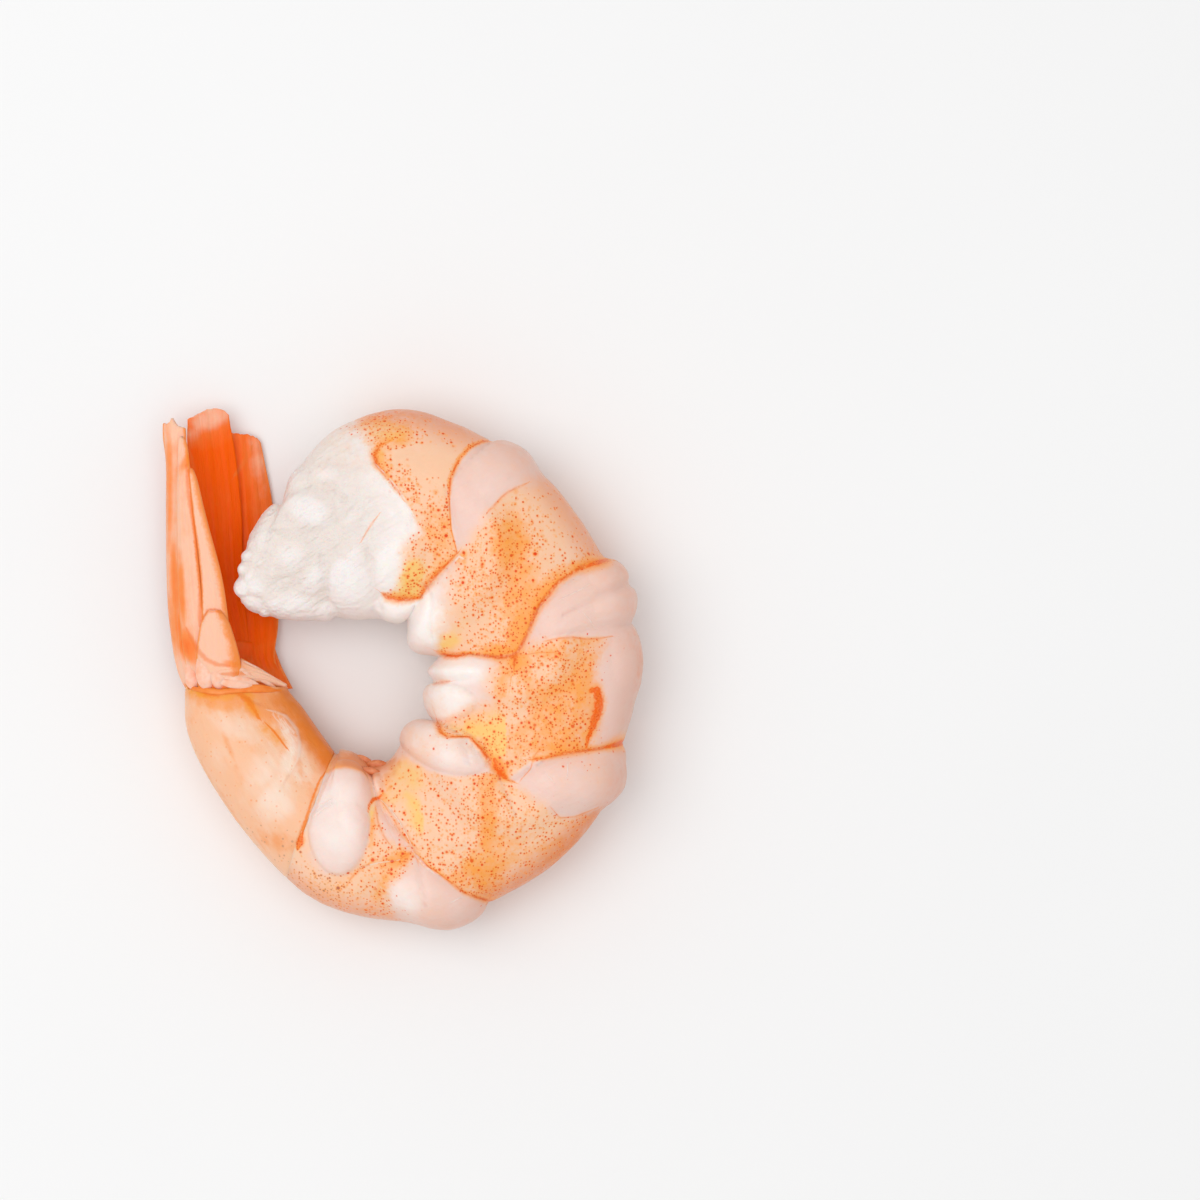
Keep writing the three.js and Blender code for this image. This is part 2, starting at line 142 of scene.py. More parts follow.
# Valleys between lobes: x, y and half width along each.
VALLEYS = [
    [(16.2, 5.5, 0.1), (18.5, 6.6, 0.28), (20, 7.5, 0.4), (21.2, 8.1, 0.45), (22.6, 8.5, 0.5)],
    [(15.6, 3.6, 0.1), (18.5, 4, 0.28), (20, 4.3, 0.4), (21.8, 4.6, 0.45), (24, 4.9, 0.5)],
    [(-13, 15.7, 0.2), (-11, 17.7, 0.4), (-9, 18.5, 0.5), (-6.8, 18.3, 0.4), (-5.2, 17, 0.2)],
    [(-12.6, 14, 0.2), (-10.4, 13.5, 0.45), (-8.2, 13.7, 0.5), (-6, 14.9, 0.4), (-4.8, 16.2, 0.2)],
    [(-7.8, 11.4, 0.2), (-7.4, 9.2, 0.45), (-7.2, 7, 0.5), (-6.4, 5.2, 0.4)],
    [(-3.2, 12.2, 0.2), (-2.6, 10, 0.45), (-2.4, 7.8, 0.45), (-1.9, 6.4, 0.3)],
    [(1.8, -18.6, 0.15), (2.1, -19.8, 0.28), (2.4, -21, 0.24), (2.6, -22.6, 0.1)],
    [(2.5, 8.5, 0.1), (3.4, 7, 0.28), (3.7, 5.6, 0.24), (4.1, 3.6, 0.1)],
    [(9.9, -10.7, 0.1), (10.6, -11.9, 0.24), (11.1, -13.1, 0.2), (11.6, -14.3, 0.08)],
    [(6.6, -7.2, 0.1), (7.1, -8.2, 0.22), (7.4, -9.4, 0.1)],
]
VALLEY_DEPTH = 0.24

# Painted fields of the flesh, seen from above. A patch of pigment is an outline of x, y and the
# softness of the edge that runs on from that point.
PIGMENT = {
    "first": [
        (-2.4, 21.5, 0.15), (-2.2, 20.5, 0.15), (-0.5, 18.3, 0.15), (1.3, 15.8, 0.2), (2, 14, 0.9),
        (0.5, 12.2, 0.9), (0.1, 10, 0.8), (-0.3, 8.2, 0.5), (-1.5, 7.5, 0.15), (-0.5, 7, 0.15),
        (2.1, 7.1, 0.15), (3, 8.7, 0.15), (4.5, 10.3, 0.2), (5.8, 11.7, 0.15), (5.3, 14, 0.15),
        (5, 17, 0.15), (5.1, 19, 0.15), (6.2, 21.1, 0.15), (7.5, 22.4, 0.15), (9.3, 23, 2),
        (12, 27, 9), (-2, 31, 9), (-5.5, 27.5, 1.6), (-4.3, 25, 1.6), (-3.3, 23, 0.9),
    ],
    "second": [
        (5.8, 11.7, 0.6), (7, 13, 0.8), (8.9, 15.8, 0.25), (10.2, 17.2, 0.2), (11.6, 18.1, 0.2),
        (12.9, 18.7, 1.2), (14.8, 19.6, 1.8), (24, 17, 9), (24, 11, 2), (20.2, 10.8, 0.15),
        (18.5, 10.4, 0.15), (17.1, 9.6, 0.15), (15.6, 8.6, 0.15), (13.9, 6.3, 0.15),
        (13.1, 4.2, 0.15), (12.3, 3, 0.15), (11.6, 1.7, 0.3), (10, 1.3, 0.2), (8, 1.6, 0.15),
        (6, 1.5, 0.15), (4.1, 1.6, 0.15), (3.7, 2, 0.6), (4, 4, 1.3), (4.8, 7, 1.6), (5.2, 9.5, 1),
    ],
    "third": [
        (11.6, 1.7, 0.7), (13, 2.4, 0.9), (14.5, 2.9, 0.3), (16, 3.2, 0.25), (19, 3.3, 0.25),
        (21.2, 3.3, 0.5), (22.2, 3.8, 2.2), (25, 4.8, 9), (27, -7.5, 9), (22.4, -7.5, 0.15),
        (20, -7.8, 0.15), (18, -8, 0.15), (17.1, -8.2, 0.15), (14.5, -8.8, 0.15), (13, -9.1, 0.2),
        (10.8, -10.9, 0.15), (10, -10, 0.15), (8.2, -7.7, 0.15), (7, -6.5, 0.15), (5.5, -6.7, 0.15),
        (4.1, -6.3, 0.15), (3.9, -5.5, 0.5), (5.5, -4.2, 0.9), (9, -3, 1), (8.5, -1, 1),
        (9.6, 0.8, 0.5),
    ],
    "fourth": [
        (10.8, -10.8, 0.6), (11.5, -11.3, 0.7), (14.3, -13, 0.5), (15.3, -14.3, 0.35),
        (16.4, -14.8, 0.35), (18, -14.5, 0.5), (20.2, -13.7, 1.6), (26, -13, 9), (20, -27, 9),
        (12, -26, 0.5), (9.7, -23.6, 0.15), (7.8, -22.7, 0.15), (6.6, -22.2, 0.15),
        (5.1, -21.1, 0.15), (3, -19.6, 0.15), (1.6, -18.3, 0.4), (0.5, -16.5, 1), (-0.8, -14.5, 1),
        (-1.9, -13, 0.8), (-2, -10.5, 0.8), (-1.4, -9.5, 0.6), (0.4, -8.5, 0.25), (3, -10, 0.25),
        (6, -10.5, 0.3), (9, -10.2, 0.25),
    ],
    "fifth": [
        (1.6, -18.3, 0.4), (0, -17.5, 0.6), (-1.5, -16.8, 0.8), (-2.8, -13, 0.25),
        (-3.2, -12.7, 0.25), (-3.2, -16, 0.4), (-3.4, -17.8, 0.6), (-5, -19.8, 0.7),
        (-7.5, -20.4, 1), (-9.4, -18, 1), (-9.8, -16.5, 1), (-13, -13, 9), (-16, -23, 9),
        (-10, -29, 9), (1, -29, 3), (0, -25.6, 0.9), (-1, -23.5, 0.9), (-0.9, -21.5, 0.9),
        (1, -19.5, 0.5),
    ],
    "collar": [
        (-10, -6, 9), (0, -6, 1), (-0.4, -9.4, 0.8), (-1.6, -10.3, 0.4), (-2.8, -11, 0.4),
        (-2.8, -13, 0.5), (-6, -16, 0.5), (-10, -19, 2), (-13, -19, 9), (-13, -9, 9),
    ],
}

# Outlines of the yellow patches, laid out like those of the pigment.
YOLK_PATCHES = [
    [(4.3, -5.8, 1.2), (5.5, -4.4, 2.6), (7, -3.6, 3), (8.8, -3.2, 2.4), (10.5, -3.3, 0.15),
     (10.7, -4.6, 0.12), (10.8, -7.5, 0.2), (10.6, -9.2, 1.2), (9.2, -9, 1.4), (7.8, -7.4, 1.2),
     (6, -6.6, 1)],
    [(-0.7, -12.2, 2.2), (0.3, -10.6, 2), (2.3, -11.7, 0.9), (2.7, -14, 0.5), (2.7, -16.5, 1),
     (1.5, -17.2, 1.9), (0.2, -15.4, 2.2)],
    [(-1, 7.3, 0.3), (-0.3, 9.5, 0.7), (0.4, 11.4, 1.1), (2.4, 11.8, 1.6), (3.6, 10.4, 1.2),
     (2.8, 8.6, 0.6), (2, 7, 0.3)],
]

# Soft spots over the skin: x, y, half length, half width, turn in degrees, strength. First where
# the pigment is strong, pale and yellow, and where its dots are.
WARM = [
    (-1.5, 20.8, 3, 0.7, 118, 0.55), (-0.2, 18.5, 1.9, 0.8, 130, 0.35),
    (-2.5, -13, 1.2, 0.5, 35, 1.4), (-2.8, 24.2, 1.8, 1.3, 0, 0.8), (-0.8, 23.7, 2.8, 1.7, 0, 0.95),
    (4, 14, 3.2, 1.7, 105, 0.55), (5.2, 10.8, 1.6, 0.9, 30, 0.55), (11.2, 12.5, 3.2, 1.9, 90, 0.8),
    (12, 8, 3.4, 1.9, 75, 0.7), (14.5, 8, 3, 1, 45, 0.75), (18.5, 10.5, 1.8, 0.9, 15, 0.85),
    (12, 4, 3, 1.3, 80, 0.9), (10.2, 2, 2.4, 0.7, 0, 0.8), (3.6, -7.2, 2, 0.6, 0, 0.3),
    (8.6, 7, 3.4, 1.5, 90, 0.28), (19, 13.5, 2.4, 0.9, -58, 0.35), (12, 0.8, 1.2, 1.2, 0, 0.9),
    (10.5, -1, 3, 1.1, 90, 0.6), (16, -3, 6, 4.4, 90, 0.68), (13, -1, 2.4, 1.8, 20, 0.55),
    (19, -3, 6, 2.4, 88, 0.9), (17.5, -7.2, 5, 1, 4, 0.9), (12, -6.5, 2.6, 1.6, 80, 0.55),
    (21.8, -5, 3.6, 1.6, 80, 0.6), (9.7, -9.2, 2, 0.7, -60, 0.9), (8, -7, 2.6, 1.4, 100, 0.5),
    (8.7, -14.5, 5.2, 1.2, 92, 0.75), (6.5, -13, 3, 1.4, 90, 0.45), (7.8, -19, 3.6, 1.4, 8, 0.7),
    (9, -21.5, 2.8, 1.4, -20, 0.7), (4.8, -20.4, 2.2, 0.7, -30, 0.6),
    (0.2, -18.8, 2, 0.9, 20, 0.75), (-1.5, -21.5, 2.4, 1.4, 60, 0.5),
    (-2.8, -14.2, 2, 0.45, 95, 0.8), (0.4, -16.8, 1.8, 0.7, -55, 0.5),
    (16, -19.2, 6, 2.2, 35, 0.75), (-6, -9.2, 4.4, 1.2, 4, 1), (-8.8, -12.5, 4, 0.8, 112, 0.7),
    (-1.6, -12, 2.4, 0.7, 80, 0.5), (-2.9, -13.3, 1, 0.5, 60, 1.1),
    (-2.1, -12.9, 0.9, 0.4, -15, 1.1), (-3, -15, 2.6, 0.5, 92, 0.8), (19.2, 11, 1.6, 0.8, 12, 0.8),
    (14, -20.2, 3, 1.4, 30, 0.8), (10.5, -18, 3.4, 2.4, 0, 0.45), (23, -3, 4.4, 1.4, 88, 1.1),
    (-1.8, 23.8, 2, 1.2, 0, 0.8), (7.8, -19.8, 3, 1.6, 10, 0.9), (4, 15, 3.4, 1.6, 100, 0.5),
    (16, 3, 4, 0.9, 3, 0.3), (-5, -22.5, 4, 1.2, -12, 0.22), (-7, -21, 2.4, 1.2, -10, 0.18),
]
PALE = [
    (14.7, -0.1, 1.3, 0.9, -10, 0.75), (11.5, -3.9, 1.1, 0.9, 0, 0.9), (11.6, -2, 0.7, 1, 0, 0.6),
    (6, -17.1, 1.4, 0.9, 20, 0.8), (5.3, -19, 1.2, 1, 10, 0.9), (4.6, -13.5, 2.2, 3.4, 0, 1.3),
    (2.5, 20, 2.4, 3.4, 10, 0.6), (18.5, 12.5, 2, 1.6, -50, 0.5), (12.5, -21, 2.4, 1.1, 35, 0.7),
    (5.6, 3.8, 2.2, 1.8, 30, 1.3),
]
YOLK = [
    (6, 4.2, 2.2, 1.4, 60, 0.3), (4.7, 2.8, 1.6, 0.9, 20, 0.75), (2.5, 9.3, 2, 0.8, 45, 0.4),
    (0.8, -10.5, 2.2, 1.4, -40, 0.6), (-0.5, -12, 2, 1, 60, 0.5), (7.8, -18.8, 2.6, 1, 5, 0.35),
    (-1.6, 23.9, 2.6, 1, 0, 0.65), (-1.9, 21.4, 1.2, 0.5, 100, 0.4),
    (10.8, 14.5, 2.4, 1.2, 85, 0.25), (-3, -13.6, 1.6, 0.5, 80, 1.2),
]
DOTS = [
    (-2, 24, 2.4, 1.5, 0, 1.3), (0.4, 23.5, 2.6, 1.1, 0, 0.75), (3.5, 23.8, 3, 1.2, -15, 0.35),
    (-1.2, 20, 3, 0.8, 122, 0.9), (0.4, 18.2, 2.2, 1.3, 130, 0.95), (-0.2, 15, 2.4, 1.5, 60, 0.45),
    (3.8, 14, 3.2, 2, 100, 0.95), (1.8, 16.5, 2.2, 1.6, 0, 0.4), (1.2, 9.5, 2.8, 1.8, 80, 0.8),
    (0.5, 7.6, 2.2, 0.7, 0, 0.7), (4.5, 11, 2.4, 1, 45, 0.8), (6.2, 9.5, 2.8, 2, 90, 0.75),
    (10.8, 12, 3.6, 2.8, 90, 1), (9, 9, 4.2, 3.6, 90, 0.9), (11.5, 5, 4.4, 2.8, 90, 0.95),
    (15.2, 7.8, 3.4, 1.6, 45, 0.85), (18.5, 10.4, 2.2, 1, 15, 1), (13, 16, 4, 2.2, 20, 0.28),
    (17, 12.5, 3.4, 2.4, -60, 0.25), (7, 4, 3.6, 2.4, 90, 0.3), (9.8, 2.2, 3.4, 1.4, 0, 0.95),
    (5.5, 1.5, 3, 0.6, 0, 0.6), (12, 0.2, 2, 1.6, 0, 0.9), (10.5, -2, 4.2, 1.8, 90, 0.6),
    (16.5, 0.5, 6.4, 3.4, 5, 0.85), (15.5, -3, 6.4, 4.8, 90, 0.9), (16, -6.8, 6.2, 2, 5, 0.85),
    (21.2, -3, 5, 2.6, 90, 0.4), (11.5, -7.5, 3, 2.4, 90, 0.6), (9.5, -8.5, 2.8, 1.4, 110, 0.95),
    (7.8, -5.8, 3, 2.6, 60, 0.4), (13, -5, 4, 2.4, 90, 0.55), (8.5, -13, 4.4, 3, 92, 0.9),
    (5, -12.5, 4.6, 2.8, 92, 0.6), (12.5, -15.5, 4.6, 3.6, 92, 0.6), (16, -14.5, 5, 1.6, 5, 0.6),
    (7.5, -18, 4, 3.4, 5, 0.75), (8, -21, 4.2, 2.2, -25, 1), (4.2, -19.8, 3, 1.4, -30, 0.8),
    (13, -20, 5, 3, 40, 0.55), (-0.2, -19.2, 2.8, 1.8, 20, 0.95), (-1.5, -22, 3.2, 2.6, 60, 0.75),
    (-5, -22.5, 4, 2, -10, 0.5), (0, -15.5, 3.8, 1.8, -60, 0.5), (-8, -21.2, 3, 1.8, -20, 0.7),
    (-2.5, -13.2, 1.2, 0.7, -20, 0.8), (-1.8, -16.5, 3.2, 1.4, 90, 0.6), (19.2, 11, 2, 1.1, 12, 1),
    (4, -12, 5, 3, 90, 0.35), (-0.5, -11, 2.4, 1.6, 60, 0.3), (8, 5.5, 5, 3, 90, 0.22),
]
# Where the pinkish veil of skin is off the pale flesh, or thin.
BARE = [
    (-10, 15, 9, 11, 0, 1.3), (-5, 8, 5, 5, 0, 1.2), (-1.5, 9.5, 1.8, 3.2, 0, 0.9),
    (2.2, 4.4, 2.8, 3.4, 90, 1), (5.2, -0.1, 3.2, 1.6, 0, 1), (4.5, -3, 2.8, 2.2, 0, 1),
    (5.2, -7.4, 5, 2.2, -20, 0.55), (-6.4, -15, 2.6, 4.8, 0, 0.55), (-8, 23, 5, 4, 30, 0.9),
    (0, 5.8, 2, 1, 0, 0.9), (4, 8.5, 2, 2, 60, 0.5), (0, -23, 2.2, 2.2, 0, 0.5),
]
# Where the pigment is thin.
FADED = [(21.7, -1.5, 5.6, 1.9, 88, 0.72), (4.7, -13.6, 2.2, 3.2, 0, 0.4)]
# Where fine fibres show on the pale flesh, and where the skin is browned: its own tone, partly
# painted shade where it lies low by the shell ring.
FIBROUS = [(-8.2, 18, 5, 3.4, 30, 1), (-10, 11, 5, 5, 0, 0.8)]
BROWN = [
    (-6.5, -8.8, 3.4, 0.8, 4, 0.6), (-3.6, -9.4, 2.6, 1.2, -8, 1), (-1.6, -9.4, 1.6, 1, 20, 0.6),
]
# Where the back is painted browner than elsewhere: painted shade, with some painted reflected
# colour.
BACK_SHADE = [
    (17.5, -20.8, 6, 3.4, 35, 1.1), (24, -3, 4, 3, 90, 0.45), (22.5, -14.5, 4, 3, 60, 0.8),
    (4, 26, 6, 2, 0, 0.2),
]
# The head end, painted a little greyer: partly its meat's own tone, partly painted shade, as the
# lobes beside it are more brightly lit; and where it is torn.
HEAD_END = [(-10, 15, 9, 12, 0, 1)]
TORN = [
    (-13.2, 9.8, 4.6, 4.4, 20, 1), (-10, 8, 4.6, 3, 0, 0.7), (-10, 12.5, 4.4, 3.4, 30, 0.55),
    (-11, 17, 2.6, 3.2, 20, 0.35),
]
# Where the dots are grey, near the shell ring.
GREY = [(-8.2, -21.2, 2.6, 1.6, -25, 1), (-9.8, -19.2, 1.4, 0.8, 100, 0.8)]

# Fine lines of pigment: x, y and half width along each. First the segments' dark edges, then
# fainter lines, then stains.
RIM_LINES = [
    [(9.5, 23, 0.06), (8.2, 22.8, 0.12), (7, 22.2, 0.13), (6.1, 21.2, 0.13), (5.5, 20, 0.15),
     (5.1, 18.9, 0.13), (5, 17, 0.06), (5.2, 14, 0.04), (5.8, 11.7, 0.04)],
    [(-0.8, 22.9, 0.05), (-2, 22.3, 0.15), (-2.4, 21.4, 0.26), (-2.2, 20.5, 0.24),
     (-1.4, 19.5, 0.15), (-0.4, 18.2, 0.15), (0.5, 17, 0.07)],
    [(-1.6, 7.6, 0.12), (-1.2, 7.3, 0.26), (-0.2, 7.1, 0.3), (1, 7.1, 0.24), (2.1, 7.3, 0.14)],
    [(2.1, 7.2, 0.08), (2.5, 8.1, 0.22), (3.2, 9, 0.26), (3.8, 9.7, 0.24), (4.8, 10.6, 0.14),
     (5.8, 11.7, 0.08)],
    [(20.6, 10.9, 0.35), (19, 10.6, 0.42), (17.8, 10.1, 0.28), (17.1, 9.6, 0.18), (15.8, 8.8, 0.24),
     (14.6, 7.3, 0.28), (13.7, 6.2, 0.3), (13.1, 4.5, 0.2), (12.4, 2.9, 0.2), (11.7, 1.8, 0.28),
     (11.5, 0.7, 0.3)],
    [(3.9, 1.8, 0.12), (4.6, 1.5, 0.2), (5.7, 1.4, 0.18), (7, 1.7, 0.14), (8.5, 1.5, 0.2),
     (10, 1.3, 0.24), (11.5, 1.4, 0.26)],
    [(22.4, -7.2, 0.45), (21.2, -7.5, 0.32), (20, -7.8, 0.18), (18, -8, 0.22), (16, -8.3, 0.22),
     (14.5, -8.7, 0.16), (13.4, -8.8, 0.14)],
    [(3.9, -5.5, 0.24), (4.1, -6.1, 0.2), (4.8, -6.6, 0.12), (5.8, -6.6, 0.08), (7, -6.6, 0.12),
     (8.1, -7.7, 0.18), (9.1, -9.1, 0.26), (10, -10.3, 0.32), (10.8, -10.9, 0.12),
     (11.5, -11.1, 0.06)],
    [(10.8, -23.4, 0.25), (9, -23.1, 0.22), (7.8, -22.7, 0.16), (6.4, -22.1, 0.13),
     (5.1, -21.1, 0.1), (3.8, -20.1, 0.07), (2.4, -19.2, 0.14), (1.6, -18.3, 0.1)],
]
FAINT_LINES = [
    [(8.9, 15.8, 0.08), (9.5, 16.4, 0.1), (10.2, 17.2, 0.1), (10.8, 17.7, 0.1), (11.6, 18.1, 0.12),
     (12.9, 18.7, 0.04)],
    [(14.5, 2.9, 0.04), (16, 3.2, 0.1), (17.3, 3.3, 0.11), (18.7, 3.1, 0.09), (20, 3.2, 0.1),
     (21.2, 3.4, 0.05)],
    [(14, -7.8, 0.06), (13.4, -8.6, 0.08), (13.1, -9.8, 0.05), (12.1, -10.9, 0.04)],
    [(3.4, -1.4, 0.08), (4.2, -1.2, 0.15), (5, -1.1, 0.08)],
    [(-1.6, -13.3, 0.05), (-0.8, -14.5, 0.08), (0.2, -16.1, 0.14), (1.1, -17.1, 0.14),
     (1.8, -17.8, 0.1)],
    [(-2.4, -13.6, 0.05), (-2.1, -15.2, 0.1), (-1.5, -16.6, 0.1), (-0.9, -17.4, 0.05)],
    [(12.2, 1.5, 0.05), (14, 1.8, 0.07), (15.6, 1.8, 0.06), (16.1, 1.4, 0.04)],
    [(-2.9, -19.2, 0.05), (-3.9, -19.8, 0.12), (-4.8, -20.7, 0.1), (-5.2, -21.4, 0.04)],
    [(1.6, -18.3, 0.12), (1.9, -19.1, 0.05)],
    [(0.2, -18.7, 0.1), (0.9, -18.3, 0.16), (1.6, -17.9, 0.14)],
    [(-3.8, 12.7, 0.03), (-3.2, 13.8, 0.07), (-2.6, 14.7, 0.07), (-1.9, 15.6, 0.03)],
    [(15.1, -13.6, 0.03), (16, -14.7, 0.07), (17.5, -14.6, 0.07), (19.8, -13.7, 0.05)],
]
STAINS = [
    [(19.1, -2, 0.22), (19.7, -1.9, 0.36), (19.9, -3.1, 0.42), (19.7, -4.3, 0.42),
     (19.3, -5.5, 0.34), (18.8, -6.7, 0.2), (18.6, -7.7, 0.08)],
    [(-9.6, -16, 0.06), (-9.9, -16.8, 0.34), (-10.1, -17.5, 0.3), (-10.2, -18, 0.06)],
    [(-3.1, -14.2, 0.05), (-3, -13.4, 0.1), (-2.6, -12.9, 0.15), (-2, -12.7, 0.12),
     (-1.6, -12.2, 0.05)],
    [(9.4, -8.7, 0.1), (9.8, -9.4, 0.4), (10.2, -10.2, 0.42), (10.7, -10.8, 0.12)],
    [(18.4, 10.2, 0.06), (19, 10.5, 0.2), (20, 10.8, 0.24), (20.8, 11, 0.1)],
    [(20.4, -7.7, 0.08), (21.4, -7.5, 0.24), (22.4, -7.2, 0.24)],
]
# Pale films of membrane, and narrow folds in the skin, laid out the same way.
FILMS = [
    [(-2.2, 20.4, 0.05), (-1.2, 19.4, 0.09), (-0.1, 18.1, 0.09), (0.8, 16.7, 0.08),
     (1.6, 15.2, 0.05)],
    [(-1.6, 19.1, 0.04), (-0.7, 18.3, 0.07), (0.2, 17.2, 0.09), (0.9, 15.8, 0.08),
     (1.2, 14.6, 0.04)],
    [(-1.9, -12.9, 0.02), (-1, -13.7, 0.04), (-0.1, -14.9, 0.05), (0.7, -16.3, 0.05),
     (1.3, -17.6, 0.03)],
    [(1.3, -18, 0.05), (1.9, -18.7, 0.14), (2.7, -19.6, 0.1), (3.6, -20.3, 0.04)],
    [(-4, -19.7, 0.03), (-2.2, -19.2, 0.05), (0, -18.9, 0.04)],
    [(5.5, 10.8, 0.05), (6, 11.3, 0.12), (6.6, 11, 0.05)],
    [(14.5, -10.1, 0.03), (15.1, -10.7, 0.05), (15.5, -11.2, 0.03)],
    [(16.8, -9.2, 0.04), (16.8, -9.9, 0.06), (16.7, -10.6, 0.03)],
    [(5, -23.2, 0.03), (5.6, -22.9, 0.06), (6.2, -22.6, 0.03)],
    [(16, 7, 0.03), (18, 8, 0.05), (19, 8.6, 0.03)],
    [(18.3, 5.8, 0.03), (19, 5, 0.05), (19.4, 4.4, 0.03)],
]
# The grooves are real folds; their darker tint is painted shade.
GROOVES = [
    [(10, -10.7, 0.06), (10.6, -11.9, 0.1), (11.1, -13.1, 0.08), (11.6, -14.3, 0.04)],
    [(-8.7, -14.2, 0.04), (-8, -13.4, 0.06), (-6.8, -12.8, 0.04)],
    [(-8.5, -14.7, 0.04), (-7.7, -13.9, 0.06), (-6.6, -13.3, 0.04)],
]
# The line where the veiled skin begins, behind the cut head end.
FRONT = [
    (-6, 29), (-2.4, 21.5), (-0.5, 18.3), (1.3, 15.8), (2.4, 12.5), (3, 7), (0, 3), (-10, -2),
    (-25, -3),
]

# The shell ring, seen from above: the edge of a flake torn from it, its rim and the fibres on it.
FLAKE_EDGE = [
    (-13.8, -3.6), (-12.8, -4.1), (-11.5, -4.5), (-10.3, -6), (-10, -7.5), (-10.2, -9),
    (-10.9, -10.2),
]
FLAKE_RIM = [
    (-13.2, -4, 0.06), (-12.4, -4.2, 0.1), (-11.4, -4.6, 0.13), (-10.3, -6, 0.15),
    (-10, -7.5, 0.15), (-10.2, -8.9, 0.12), (-10.9, -10.2, 0.06),
]
FLAKE_FIBRES = [
    [(-12.8, -4.4, 0.03), (-11.9, -5.4, 0.06), (-11.1, -6.6, 0.03)],
    [(-12.2, -4.5, 0.03), (-11.4, -5.5, 0.06), (-10.7, -7, 0.06), (-10.6, -8.2, 0.03)],
    [(-11.7, -4.6, 0.03), (-10.9, -5.7, 0.05), (-10.3, -7.1, 0.03)],
    [(-11, -7.4, 0.03), (-10.8, -8.4, 0.05), (-11, -9.6, 0.03)],
    [(-12.5, -4.9, 0.03), (-11.8, -6, 0.05), (-11.4, -6.9, 0.03)],
]
RING_FOLD = [(-21.4, -6.5), (-20, -10.5), (-17.8, -14.2), (-15.2, -17.6)]
RING_LIP = [(-8.7, -13.6, 6.4, 2.4, 112, 1)]
# Its soft spots and lines, laid out like those of the flesh.
RING_PALE = [
    (-12.2, -13, 2.6, 1.8, 70, 0.9), (-16.2, -5.8, 2.4, 1.3, -30, 0.6),
    (-13.8, -10.2, 2.6, 1.6, 60, 0.7), (-10.8, -8.8, 1.8, 1, 60, 0.9),
    (-17.8, -9, 1.2, 2.4, 15, 0.35), (-11.4, -5.7, 1.6, 0.7, -55, 0.9),
    (-10.7, -7.8, 1.8, 0.7, -80, 1), (-9.8, -10.2, 1.6, 1, 90, 0.8),
]
RING_WARM = [
    (-17, -7.8, 2.2, 0.28, 112, 0.6), (-16, -10.5, 1.2, 0.5, 100, 0.3),
    (-14.4, -15.2, 2.2, 0.8, 100, 0.25), (-12.2, -17.2, 2.4, 1.1, -15, 0.6),
    (-17.8, -2.8, 3.6, 1.2, -8, 0.95), (-13.8, -3.4, 3.2, 1.6, -30, 1),
    (-19, -12, 4.2, 0.8, -62, 0.25), (-9, -12, 3.4, 0.6, 112, 0.5),
    (-20.7, -4.5, 2.4, 0.7, 80, 0.3), (-9.5, -16, 1.4, 0.5, 70, 0.8),
    (-17.8, -13.3, 4.2, 0.8, -55, 0.4), (-20, -9.5, 3, 0.8, -75, 0.3),
]
RING_YOLK = [
    (-12.6, -6.5, 1.8, 0.8, -45, 0.7), (-14.8, -3.6, 1.7, 0.5, -58, 0.8),
    (-17.8, -3.2, 2.6, 1.2, -5, 0.45), (-18.7, -2.2, 2.6, 0.8, -6, 1.2),
    (-16, -2.2, 1.6, 0.6, -20, 1), (-15, -3.3, 1.2, 0.5, -60, 1), (-21, -1.5, 1, 0.4, -20, 0.9),
    (-15.5, -7.5, 1.4, 0.7, -20, 0.35),
]
# The brown side towards the belly: partly the membrane's own colour, partly painted shade where it
# lies low past the flake's edge.
RING_BROWN = [
    (-8.2, -6.5, 4.6, 1.9, -52, 1), (-6.8, -8.7, 2.4, 1.6, -40, 1),
    (-10.8, -3.3, 2.6, 1.4, -48, 0.9),
]
RING_DOTS = [
    (-10, -19.2, 2.2, 1.2, 100, 0.5), (-11.5, -18, 2.6, 1.4, -20, 0.5),
    (-13.8, -16.5, 2.4, 1.2, -40, 0.25),
]
RING_LINES = [
    [(-6.6, -9.1, 0.07), (-8, -11, 0.1), (-8.7, -12.8, 0.11), (-9.3, -14.8, 0.13),
     (-9.8, -16.4, 0.2), (-10.1, -17.3, 0.28)],
    [(-21.3, -1.4, 0.16), (-20.4, -1.8, 0.22), (-19.5, -2.1, 0.36), (-18.3, -2.2, 0.42),
     (-17.4, -2.1, 0.26), (-16.2, -2.1, 0.26), (-15.2, -3, 0.26), (-14.6, -3.9, 0.2),
     (-14.1, -4.8, 0.1)],
    [(-13.4, -5.3, 0.05), (-12.5, -6.2, 0.1), (-11.3, -7.8, 0.07)],
]

